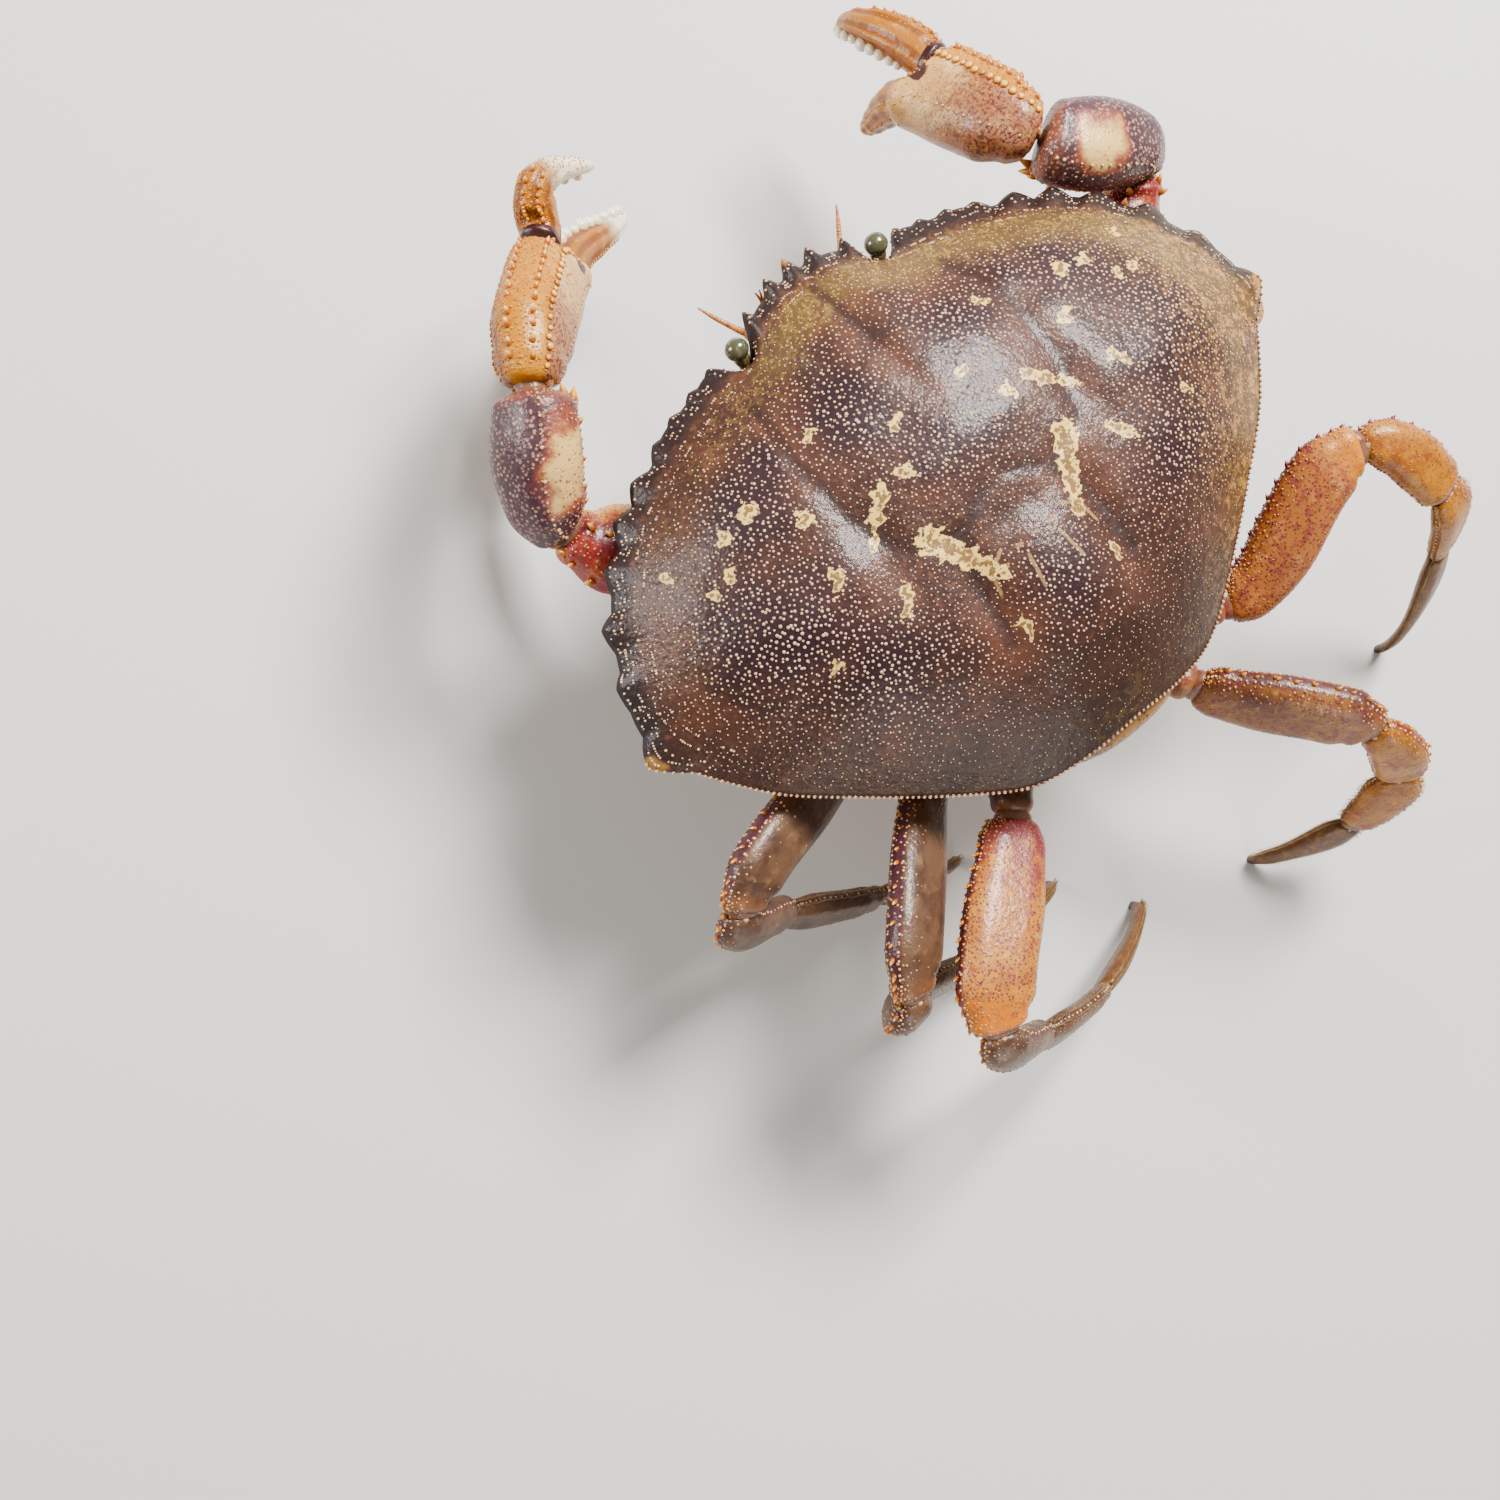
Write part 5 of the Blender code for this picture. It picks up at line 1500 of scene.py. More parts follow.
@dataclass
class WalkingLeg:
    """One walking leg from its hip to its flat tip on the floor."""

    name: str
    hip: tuple[Array, Array]
    joints: list
    up: Point
    sizes: list
    finishes: tuple[Finish, ...]
    spiny: Finish = SPINY
    flank: float = 0.4
    foot: float = 2.2

    def segments(self) -> list[Segment]:
        """Return the five segments from the hip outward.

        Returns:
            The segments, in order.
        """
        points = [self.hip[0]] + [np.array(p, float) for p in self.joints]
        normals = joint_normals(self.hip[1], points, np.array([0.0, 0.0, -1.0]))
        sizes = [(13.0, 12.0)] + self.sizes
        tip = (1.0, self.foot / sizes[4][0], self.foot / sizes[4][1])
        shapes = [BASE_SHAPE, MERUS_SHAPE, CARPUS_SHAPE, PROPODUS_SHAPE,
                  [(0.0, 0.8, 0.85), (0.2, 1.0, 1.0), (0.7, 0.6, 0.62), tip]]
        up = np.array(self.up)
        made = []
        for i in range(5):
            made.append(Segment(points[i], points[i + 1], normals[i], normals[i + 1], up, sizes[i], shapes[i],
                                keel=0.02 if i == 0 else 0.09, round_end=0.0 if i == 4 else 1.2,
                                box=0.7 if i in (1, 3) else 0.8))
            up = made[-1].last_up
        return made

    def build(self, rng: Draw) -> None:
        """Build and dress the segments, their beads, spines, fringe and joint skin.

        Args:
            rng: the random source.
        """
        parts = self.segments()
        names = [f"{self.name}_{k}" for k in ("base", "merus", "carpus", "propodus", "dactyl")]
        beads, spines, hairs = [], [], []
        for index, (name, part) in enumerate(zip(names, parts)):
            show(f"{name}_shell", part.solid(), self.finishes[index], Slot.LIMB, name)
            skin = part.skin()
            if index in (1, 2, 3):
                beads.append(beads_over(skin, 1.3, 0.19, rng, 0.8, self.flank))
                for around in (0.03, -0.035, 0.5):
                    beads.append(row_on(skin, ROUND_BEAD, (0.06, 0.94), 1.15, around, (0.33, 0.33), rng))
                spines.append(row_on(skin, SPINE, (0.1, 0.94), 2.4, 0.0, (0.6, 1.2), rng, 0.6))
            if index in (3, 4):
                end = 0.86 if index == 3 else 0.78
                for around in (-0.02, 0.02, 0.48, 0.52):
                    hairs.append(row_on(skin, HAIR, (0.05, end), 0.28, around, (0.07, 1.5), rng, 0.7))
        joints = [sleeve(a, b) for a, b in zip(parts, parts[1:])]
        hinges = [knobs(part, rng) for part in parts[2:]]
        for kind, shapes, finish, nodes in (
                ("joint_skin", joints, SKIN, names), ("knobs", hinges, KNOB, names[2:]),
                ("granules", beads, LEG_BEAD, names[1:4]), ("spines", spines, self.spiny, names[1:4]),
                ("fringe", hairs, HAIRS, names[3:])):
            show(f"{self.name}_{kind}", join(shapes), finish, Slot.LIMB, *nodes)


@dataclass
class Cheliped:
    """One claw limb: base, merus, carpus, palm with its fixed finger, and the moving finger."""

    side: str
    sign: float
    hip: tuple[Array, Array]
    joints: list
    up: Point
    palm_end: Point
    palm_up: Point
    fixed_tip: Point
    moving_tip: Point
    moving_bow: Point
    patch_facing: Point
    patch_span: tuple[float, float]
    pale: float
    white: float
    finger_curl: float
    finger_start: float
    # Height and thickness of base, merus and carpus
    sizes: tuple = ((14.5, 13.5), (15.5, 21.0), (19.0, 17.0))
    hinge_rise: float = 5.2
    # Dark spots by the hinge: places up, sideways and forward from the palm's end, and their reach
    hinge_spots: tuple = ((-0.5, 6.4, -3.0, 2.6), (3.0, 6.4, -1.6, 1.8), (-0.5, -6.4, -3.0, 2.6))
    shoulder: float = 5.0
    finger_width: float = 13.5
    # Place along the part, height and, for the palm, thickness
    palm_table: tuple = ((0.0, 11.8, 10.8), (0.14, 15.5, 13.8), (0.36, 19.8, 15.2), (0.7, 20.6, 15.2),
                         (0.9, 20.3, 14.4), (1, 20, 13.8))
    fixed_table: tuple = ((0, 9.4), (0.2, 9), (0.45, 7.8), (0.7, 6), (0.88, 4.3), (0.97, 2.8), (1, 1.4))
    moving_table: tuple = ((0, 9.1), (0.14, 10), (0.3, 9.7), (0.5, 8.7), (0.7, 6.9), (0.87, 4.6), (0.97, 3),
                           (1, 1.5))

    def arm(self) -> list[Segment]:
        """Return the base, merus and carpus.

        Returns:
            The three segments.
        """
        points = [self.hip[0]] + [np.array(p, float) for p in self.joints] + [np.array(self.palm_end)]
        axis = unit(points[-1] - points[-2])
        normals = joint_normals(self.hip[1], points, axis)
        up = np.array(self.up)
        made = []
        for i, shape in enumerate((BASE_SHAPE, ARM_MERUS_SHAPE, CARPUS_SHAPE)):
            made.append(Segment(points[i], points[i + 1], normals[i], normals[i + 1], up, self.sizes[i],
                                shape, rings=60, columns=60, keel=0.06, inner_sign=self.sign,
                                patch_facing=self.patch_facing, patch_span=self.patch_span))
            up = made[-1].last_up
        self.wrist, self.wrist_normal = points[-2], normals[-2]
        return made

    def tube(self, centres: Array, slopes: Array, up: Array, heights: Array, widths: Array,
             columns: int = 64, ribs: Array | None = None) -> Array:
        """Carry an oval section with soft keels along a path.

        Args:
            centres: places on the path.
            slopes: its slopes.
            up: the direction of the section's height at the start.
            heights, widths: the section's sizes at each place.
            columns: points in each ring.
            ribs: the height of eight ribs along the path, as shares of the section.

        Returns:
            The rings.
        """
        tops, sides = carry_up(up, slopes)
        angles = turn_of(columns)
        swell = 1 + 0.04 * np.exp(-(np.sin(angles / 2) / 0.2)**2) + 0.012 * np.cos(5 * angles)
        ribs = np.zeros(len(centres)) if ribs is None else ribs
        swell = swell[None] + ribs[:, None] * np.cos(8 * angles)[None]
        high = boxed(np.cos(angles), 0.86) * swell
        wide = boxed(np.sin(angles), 0.86) * swell
        return sweep(centres, tops, sides, high * heights[:, None] / 2, wide * widths[:, None] / 2)

    def palm(self) -> tuple[Array, int]:
        """Return the rings of the palm and fixed finger, and the first ring of the finger.

        Returns:
            The rings, and how many of them belong to the palm.
        """
        end = np.array(self.palm_end)
        axis = unit(end - self.wrist)
        up = unit(np.array(self.palm_up) - np.dot(self.palm_up, axis) * axis)
        self.axis, self.claw_up = axis, up
        length = float(np.linalg.norm(end - self.wrist))
        start = self.wrist + self.wrist_normal * 0.9
        t = np.concatenate([np.linspace(0, 0.12, 8), np.linspace(0.14, 1.0, 46)])
        centres, slopes = hermite(start, end, self.wrist_normal * length, axis * length, t)
        sizes = smooth_table(self.palm_table, t)
        near = np.sqrt(1 - 0.75 * np.clip(1 - t * length / 1.4, 0, 1)**2)
        heights, widths = sizes[:, 0] * near, sizes[:, 1] * near
        root = end - up * self.hinge_rise
        tip = np.array(self.fixed_tip)
        reach = float(np.linalg.norm(tip - root))
        s = np.linspace(0, 1, 54)
        finger, finger_slopes = hermite(root, tip, axis * reach * self.finger_start,
                                        unit(tip - root + up * self.finger_curl) * reach, s)
        thick = smooth_table(self.fixed_table, s)[:, 0]
        fall = ease(t, 0.82, 1.0)
        shoulder = self.shoulder * fall
        centres = centres - up * shoulder[:, None] * 1.05
        heights = heights - 2 * shoulder * 1.02
        heights[-1] = max(heights[-1], thick[0])
        centres = np.concatenate([centres, finger[1:]])
        slopes = np.concatenate([slopes, finger_slopes[1:]])
        heights = np.concatenate([heights, thick[1:]])
        widths = np.concatenate([widths, np.maximum(thick[1:], self.finger_width - 40 * s[1:])])
        ribs = 0.05 * np.concatenate([0 * t, ease(s[1:], 0.05, 0.3) * (1 - ease(s[1:], 0.8, 1.0))])
        return self.tube(centres, slopes, up, heights, widths, ribs=ribs), len(t)

    def moving(self) -> Array:
        """Return the rings of the moving finger, on the curve that passes through its bow.

        Returns:
            The rings.
        """
        root = np.array(self.palm_end) + self.claw_up * self.hinge_rise + self.axis * 0.3
        bow, tip = np.array(self.moving_bow), np.array(self.moving_tip)
        first = root + self.axis * 8.0 + self.claw_up * 3.0
        second = (8 * bow - root - 3 * first - tip) / 3
        t = np.linspace(0, 1, 60)[:, None]
        centres = bezier(root, first, second, tip, t)
        slopes = unit((1 - t)**2 * (first - root) + 2 * t * (1 - t) * (second - first)
                      + t**2 * (tip - second))
        turn = np.clip(t / 0.4, 0, 1)
        slopes = unit(self.axis * (1 - turn) + turn * slopes)
        share = t[:, 0]
        thick = smooth_table(self.moving_table, share)[:, 0]
        back = np.array([-1.6, -0.9, -0.3])[:, None]
        centres = np.concatenate([root + self.axis * back, centres])
        slopes = np.concatenate([np.tile(self.axis, (3, 1)), slopes])
        thick = np.concatenate([thick[0] * np.array([0.55, 0.82, 0.96]), thick])
        ribs = 0.045 * np.concatenate([np.zeros(3), ease(share, 0.2, 0.4) * (1 - ease(share, 0.75, 0.95))])
        return self.tube(centres, slopes, self.claw_up, thick, thick * 0.9, 64, ribs)

    def values(self, grid: Array, finger_from: int) -> dict[str, Array]:
        """Return the values that the claw's finish reads.

        Args:
            grid: the rings of the palm or of the moving finger.
            finger_from: the first ring that is finger.

        Returns:
            Named values as (ring, column).
        """
        rings, columns = grid.shape[:2]
        angles = turn_of(columns)
        rows = np.arange(rings)
        finger = ease(rows, finger_from - 6, finger_from + 6)
        tip = np.clip((rows - finger_from) / (rings - 1 - finger_from), 0, 1) * self.white
        inner = np.clip(0.25 + self.sign * np.sin(angles), 0, 1)
        crest = np.exp(-(np.sin((angles - 0.3 * self.sign) / 2) / 0.42)**4)
        wrist = 1.0 - ease(rows, 0.2 * finger_from, 0.95 * finger_from + 1.0)
        rib = (0.5 - 0.5 * np.cos(8 * angles))[None] * (finger * (1 - ease(tip, 0.7, 0.9)))[:, None]
        sides = np.cross(self.axis, self.claw_up)
        joint = np.zeros((rings, columns))
        for lift, side, along, reach in self.hinge_spots:
            spot = np.array(self.palm_end) + self.claw_up * lift + sides * side + self.axis * along
            away = np.linalg.norm(grid - spot, axis=2)
            joint = np.maximum(joint, 1.0 - ease(away, 0.3 * reach, 1.6 * reach))
        return {"finger": on_columns(finger, columns), "tip_end": on_columns(tip, columns),
                "wrist": on_columns(wrist, columns), "ridge": np.repeat(crest[None], rings, 0),
                "inner": self.pale * inner[None] * (1.0 - 0.45 * wrist[:, None]), "rib": rib, "joint": joint}

    def build(self, rng: Draw) -> None:
        """Build and dress the claw limb.

        Args:
            rng: the random source.
        """
        name = f"cheliped_{self.side}"
        arm = self.arm()
        inner = 0.25 * self.sign
        beads, spines, crest, gold = [], [], [], []
        for kind, part, finish in zip(("base", "merus", "carpus"), arm, (LEG, MERUS, CARPUS)):
            show(f"{name}_{kind}_shell", part.solid(), finish, Slot.LIMB, f"{name}_{kind}")
            if kind != "base":
                beads.append(beads_over(part.skin(), 1.25, 0.2, rng, 0.5, 0.22))
        merus, carpus = arm[1].skin(), arm[2].skin()
        for around in (inner * 0.45, -inner * 0.5):
            beads.append(row_on(carpus, ROUND_BEAD, (0.08, 0.92), 1.2, around, (0.42, 0.42), rng))
        beads.append(row_on(merus, ROUND_BEAD, (0.1, 0.95), 1.3, inner, (0.5, 0.5), rng))
        for skin, span, spacing, around, size, lean in (
                (merus, (0.25, 0.85), 4.5, 0.0, (0.9, 1.7), 0.5),
                (merus, (0.5, 0.93), 4.0, -inner, (0.9, 1.9), 0.5),
                (carpus, (0.2, 0.86), 4.0, inner * 0.45, (0.8, 1.4), 0.5),
                (carpus, (0.84, 0.9), 9.0, inner * 0.7, (1.5, 3.6), 0.7)):
            spines.append(row_on(skin, SPINE, span, spacing, around, size, rng, lean))
        palm, split = self.palm()
        moving = self.moving()
        for kind, grid, first in (("palm", palm, split), ("dactyl", moving, 0)):
            show(f"{name}_{kind}_shell", skin_over(grid, self.values(grid, first)), PALM, Slot.CLAW,
                 f"{name}_{kind}")
        hand, finger, thumb = Skin(palm[:split]), Skin(palm[split - 4:]), Skin(moving)
        for spread in (0.05 + inner * 0.16, inner * 0.16 - 0.05):
            crest.append(row_on(hand, SPINE, (0.1, 0.86), 2.5, spread, (0.8, 1.35), rng, 0.5))
            crest.append(row_on(thumb, SPINE, (0.08, 0.6), 2.2, spread, (0.65, 1.0), rng, 0.4))
        gold += [beads_over(hand, 0.95, 0.26, rng, 0.35, 0.03), beads_over(thumb, 0.9, 0.22, rng, 0.35, 0.06)]
        gold.append(row_on(hand, ROUND_BEAD, (0.06, 0.95), 1.9, 0.17 * self.sign, (0.85, 0.75), rng))
        gold.append(row_on(hand, ROUND_BEAD, (0.05, 0.93), 1.15, -0.17 * self.sign, (0.45, 0.4), rng))
        for around in (inner * 1.25, -inner * 0.9, -inner * 1.3):
            beads.append(row_on(hand, ROUND_BEAD, (0.1, 0.9), 1.7, around, (0.34, 0.26), rng))
        for around in (0.35, -0.35, 0.5):
            gold.append(row_on(finger, ROUND_BEAD, (0.02, 0.75), 1.2, around, (0.32, 0.26), rng))
        bites = [row_on(finger, BITE, (0.16, 0.94), 2.7, 0.0, (1.35, 1.5), rng),
                 row_on(thumb, BITE, (0.26, 0.95), 2.6, 0.5, (1.3, 1.4), rng)]
        nodes = [f"{name}_{k}" for k in ("merus", "carpus", "palm", "dactyl")]
        wrist = Segment(self.wrist, np.array(self.palm_end), self.wrist_normal, self.axis, self.claw_up,
                        self.palm_table[0][1:], [(0.0, 1.0, 1.0), (1.0, 1.0, 1.0)], rings=60, columns=60)
        bands = [sleeve(arm[0], arm[1]), sleeve(arm[1], arm[2]), sleeve(arm[2], wrist)]
        hinges = [knobs(arm[2], rng), knobs(wrist, rng)]
        for kind, shapes, finish, slot, owners in (
                ("granules", beads, LEG_BEAD, Slot.CLAW, nodes),
                ("gold_granules", gold, GOLD_BEAD, Slot.CLAW, nodes[2:]),
                ("spines", spines + crest, SPINY, Slot.CLAW, nodes),
                ("teeth", bites, TOOTH, Slot.CLAW, nodes[2:]),
                ("joint_skin", bands, SKIN, Slot.LIMB, nodes),
                ("knobs", hinges, KNOB, Slot.LIMB, nodes[1:3]),
                ("finger_hinge", [self.hinge()], HINGE, Slot.CLAW, nodes[2:])):
            show(f"{name}_{kind}", join(shapes), finish, slot, *owners)

    def hinge(self) -> Shape:
        """Return the dark skin round the moving finger's root.

        Returns:
            The closed band.
        """
        root = np.array(self.palm_end) + self.claw_up * self.hinge_rise
        reach = np.linspace(-2.4, 1.6, 14)
        thick = self.moving_table[0][1] * np.interp(reach, [-2.4, -1.0, 0.6, 1.6], [0.6, 0.98, 0.98, 0.7])
        rings = self.tube(root + self.axis * reach[:, None], np.tile(self.axis, (len(reach), 1)),
                          self.claw_up, thick, thick * 0.95, 40)
        return skin_over(rings)


@dataclass
class Head:
    """Eye, antenna, antennule and mouth plate of one side."""

    side: str
    sign: float
    eye_centre: Point = (18.6, -56.0, 5.0)
    eye_root: Point = (17.9, -51.2, 0.6)
    eye_facing: Point = (0.05, -0.6, 0.8)
    eye_pull: float = 4.0
    eye_radius: float = 2.4
    antenna_root: Point = (10.6, -54.0, -1.2)
    antenna_facing: Point = (0.2, -0.79, -0.58)
    antenna_tip: Point = (18.5, -68.0, 1.5)
    antenna_pulls: tuple = (9.0, (5.6, -12.0, 4.8))
    mouth_path: tuple = (
        (-52.7, -5.8, 8.6, 2.2), (-50.8, -10, 11.8, 3.2), (-48, -15.6, 12.8, 3.6), (-45.6, -20.9, 12.8, 4.2),
        (-39, -23.2, 12.2, 6), (-30.5, -22.4, 10.6, 7.6), (-25.5, -22, 8.4, 7))
    mouth_turn: float = 0.16
    mouth_joint: float = 0.36

    def tube(self, centres: Array, thick: Array, columns: int) -> Array:
        """Carry a circle along a path, square to it.

        Args:
            centres: places on the path.
            thick: the thickness at each place.
            columns: points in each ring.

        Returns:
            The rings.
        """
        tops, sides = carry_up(UP, np.gradient(centres, axis=0))
        angles, radius = turn_of(columns), thick[:, None] / 2
        return sweep(centres, tops, sides, radius * np.cos(angles), radius * np.sin(angles))

    def build(self, rng: Draw) -> None:
        """Build and dress the head's parts on this side.

        Args:
            rng: the random source.
        """
        mirror = np.array([self.sign, 1.0, 1.0])
        self.eye(mirror)
        self.antenna(mirror)
        self.antennule(mirror)
        self.mouth(rng)

    def eye(self, mirror: Array) -> None:
        """Build the eye: a wrinkled stalk bent out of the orbit and a domed cornea over its end.

        Args:
            mirror: factors for X, Y and Z, the first one -1 on the right.
        """
        centre = np.array(self.eye_centre) * mirror
        axis = unit(np.array(self.eye_facing) * mirror)
        forward = np.array([0.0, -1.0, 0.0])
        t = np.linspace(0, 1, 48)
        path, _ = hermite(np.array(self.eye_root) * mirror - forward * 0.9, centre, forward * 5.0,
                          axis * self.eye_pull * 1.4, t)
        thick = smooth_table([(0, 4.4), (0.1, 3.7), (0.2, 3.0), (0.45, 2.8), (0.7, 3.5), (1.0, 4.5)], t)[:, 0]
        thick = thick * (1 + 0.025 * np.sin(46.0 * t) * (1 - ease(t, 0.5, 0.7)))
        show(f"eye_{self.side}_stalk", skin_over(self.tube(path, thick, 36)), STALK, Slot.EYE,
             f"eye_{self.side}")
        turn = np.linspace(0.04, math.pi - 0.04, 34)
        up = unit(UP - np.dot(UP, axis) * axis)
        across = np.cross(axis, up)
        angles = turn_of(44)
        ring = 1.02 * np.cos(angles)[:, None] * up + 1.06 * np.sin(angles)[:, None] * across
        reach = -np.cos(turn)[:, None, None] * axis * 0.98 + np.sin(turn)[:, None, None] * ring
        show(f"eye_{self.side}_cornea", skin_over(centre + 0.15 * axis + self.eye_radius * reach), EYE,
             Slot.EYE, f"eye_{self.side}")

    def antenna(self, mirror: Array) -> None:
        """Build the antenna: a stout base, two short joints and a ringed whip.

        Args:
            mirror: factors for X, Y and Z, the first one -1 on the right.
        """
        facing = unit(np.array(self.antenna_facing) * mirror)
        pull, tip_pull = self.antenna_pulls
        t = np.linspace(0, 1, 150)
        root, tip = np.array(self.antenna_root) * mirror, np.array(self.antenna_tip) * mirror
        path, _ = hermite(root - facing * 0.4, tip, facing * pull, np.array(tip_pull) * mirror, t)
        thick = smooth_table([(0, 5.0), (0.08, 5.1), (0.13, 4.2), (0.15, 3.2), (0.2, 3.6), (0.25, 3.0),
                              (0.27, 2.3), (0.33, 2.6), (0.38, 2), (0.4, 1.5), (0.7, 1.1),
                              (1, 0.45)], t)[:, 0]
        thick = thick * (1 + 0.09 * np.sin(190.0 * t) * (t > 0.41))
        show(f"antenna_{self.side}_whip", skin_over(self.tube(path, thick, 22)), KNOB_SKIN, Slot.LIMB,
             f"antenna_{self.side}")

    def antennule(self, mirror: Array) -> None:
        """Build the antennule, folded in its socket, with its pair of fine tips.

        Args:
            mirror: factors for X, Y and Z, the first one -1 on the right.
        """
        t = np.linspace(0, 1, 80)
        root, out = np.array([4.6, -54.9, 0.9]) * mirror, unit(np.array([0.1, -0.8, -0.6]) * mirror)
        elbow = np.array([6.6, -60.6, 0.2]) * mirror
        path, _ = hermite(root, elbow, out * 7.0, np.array([3.0, -4.0, 6.0]) * mirror, t)
        thick = smooth_table([(0, 3.8), (0.25, 4.3), (0.5, 3.6), (0.56, 2.2), (0.72, 2.4), (0.9, 2.1),
                              (1, 1.6)], t)[:, 0]
        fine_thick = np.interp(t, [0, 1], [1.0, 0.3]) * (1 + 0.07 * np.sin(90 * t))
        pieces = [skin_over(self.tube(path, thick, 20))]
        for spread in (-0.5, 0.6):
            end = elbow + np.array([0.6 + spread, -2.6, 3.6]) * mirror
            fine, _ = hermite(elbow + (0, 0.3, -0.2), end, np.array([1.2, -1.2, 3.0]) * mirror,
                              np.array([spread, -3.4, 0.6]) * mirror, t)
            pieces.append(skin_over(self.tube(fine, fine_thick, 10)))
        show(f"antenna_{self.side}_antennule", join(pieces), KNOB_SKIN, Slot.LIMB, f"antenna_{self.side}")

    def mouth(self, rng: Draw) -> None:
        """Build the outer mouth plate with its joint, furrow, rod, feeler and fringes.

        Args:
            rng: the random source.
        """
        table = np.array(self.mouth_path)
        run = run_along(table[:, :2])
        t = np.linspace(0, 1, 110)
        y, z, width, thick = smooth_table([(a / run[-1], *row) for a, row in zip(run, table)], t).T
        centres = np.stack([self.sign * (width / 2 + 0.3), y, z], 1)
        slopes = unit(np.gradient(centres * (0, 1, 1), axis=0))
        tops = unit(np.stack([np.full(len(t), self.sign * self.mouth_turn), slopes[:, 2], -slopes[:, 1]], 1))
        sides = np.cross(slopes, tops) * -self.sign
        angles = turn_of(64)
        u = boxed(np.sin(angles), 0.75)
        face = ease(np.cos(angles), 0.0, 0.5)
        joint = np.exp(-((t - self.mouth_joint) / 0.012)**2)[:, None]
        margin = np.exp(-((np.abs(u) - 0.84) / 0.13)**2)
        lower = ease(t, self.mouth_joint, self.mouth_joint + 0.05)[:, None]
        furrow = np.exp(-((u + 0.25) / 0.13)**2) * lower * (1 - ease(t, 0.85, 0.95))[:, None]
        relief = face * (0.3 * margin - 0.75 * furrow - 1.0 * joint
                         + 0.45 * (1 - u**2) * np.sin(math.pi * np.clip(t / self.mouth_joint, 0, 1))[:, None])
        relief = relief - 0.6 * joint
        half = width[:, None] / 2 * (1 - 0.05 * joint)
        ends = (ease(t, 0.0, 0.05) * 0.25 + 0.75)[:, None]
        grid = sweep(centres, tops, sides, np.cos(angles) * thick[:, None] / 2 + relief, u * half * ends)
        dark = np.clip(joint + furrow * face, 0, 1)
        tint = np.clip(margin * face + 0.6 * (1 - lower), 0, 1)
        name = f"maxilliped_{self.side}"
        show(f"{name}_plate", skin_over(grid, {"groove": dark, "tint": tint}), MOUTH, Slot.UNDER, name)
        edge = centres + sides * (width / 2)[:, None]
        rod = (edge + sides * 1.15 - tops * 0.4)[8:96]
        s = np.linspace(0, 1, len(rod))
        rod_thick = smooth_table([(0, 0.9), (0.2, 2.0), (0.8, 2.6), (1, 2.0)], s)[:, 0]
        rod_grid = self.tube(rod, rod_thick, 18)
        inner = centres - sides * (width / 2 - 1.6)[:, None] + tops * (thick / 2 + 0.5)[:, None]
        palp = inner[4:44] + tops[4:44] * (0.5 * np.sin(np.linspace(0, math.pi, 40)))[:, None]
        s = np.linspace(0, 1, len(palp))
        palp_thick = smooth_table([(0, 1.8), (0.3, 2.6), (0.36, 1.7), (0.42, 2.4), (0.64, 2.2), (0.7, 1.5),
                                   (0.76, 1.9), (1, 0.8)], s)[:, 0]
        palp_grid = self.tube(palp, palp_thick, 18)
        trim = join([skin_over(rod_grid, {"tint": np.ones(rod_grid.shape[:2])}),
                     skin_over(palp_grid, {"tint": np.ones(palp_grid.shape[:2])})])
        show(f"{name}_feeler", trim, MOUTH, Slot.UNDER, name)
        inside = centres - sides * (width / 2 - 0.2)[:, None]
        fringes = [self.fringe(inside, -sides + 0.8 * tops, slopes, 2.2, rng),
                   self.fringe(edge + sides * 2.0, sides + 0.5 * tops, slopes, 2.0, rng),
                   self.fringe(palp[-14:], 0.6 * tops[30:44] - sides[30:44], slopes[30:44], 3.2, rng)]
        show(f"{name}_fringe", join(fringes), HAIRS, Slot.UNDER, name)

    def fringe(self, line: Array, out: Array, along: Array, length: float, rng: Draw) -> Shape:
        """Set hairs along a line.

        Args:
            line: the line's points.
            out: the direction that the hairs grow in at each point.
            along: the direction that they lean to.
            length: their length.
            rng: the random source.

        Returns:
            The hairs in one shape.
        """
        count = 5 * len(line)
        place = np.sort(rng.uniform(0, len(line) - 1, count))
        index = place.astype(int)
        share = (place - index)[:, None]
        after = np.minimum(index + 1, len(line) - 1)
        points = line[index] * (1 - share) + line[after] * share + rng.normal(0, 0.12, (count, 3))
        ways = unit(out[index] + rng.normal(0, 0.22, (count, 3)) + 0.5 * along[index])
        reach = length * rng.uniform(0.6, 1.1, count)
        sizes = np.stack([np.full(count, 0.07)] * 2 + [reach], 1)
        return repeat(HAIR, points, ways, along[index], sizes, rng)


# The joints of each leg beyond the hip, down to the flat of its tip
LEG_JOINTS = {
    "leg1_left": [(43, -12, -28), (62.5, -45.5, -38), (56.5, -70, -47), (43, -91, -57), (27, -106, -70)],
    "leg2_left": [(44, 22, -22), (87.6, 34.2, -9), (78.5, 44, -33), (56.5, 57.5, -50), (33, 66, -70)],
    "leg3_left": [(35, 37, -20), (70.8, 70.7, -8), (66.5, 76, -33), (46, 84, -50), (18, 86, -70)],
    "leg4_left": [(28, 57, -16), (60.8, 88.5, -8), (52, 101, -28), (30, 108, -46), (4, 104, -70)],
    "leg1_right": [(-43, -9, -28), (-83, -19, -36), (-93, -31, -46), (-78, -44, -57), (-54, -54, -70)],
    "leg2_right": [(-44, 15, -25), (-88, 6, -24), (-96, 0, -46), (-80, -12, -58), (-56, -18, -70)],
    "leg3_right": [(-43, 52, -22), (-80.9, 41.4, -2), (-94, 61.6, -8), (-97.6, 76.5, -30), (-90.4, 95, -70)],
    "leg4_right": [(-24, 61, -18), (-48, 93, -12), (-54, 110, -28), (-46, 118, -48), (-28, 115, -70)],
}
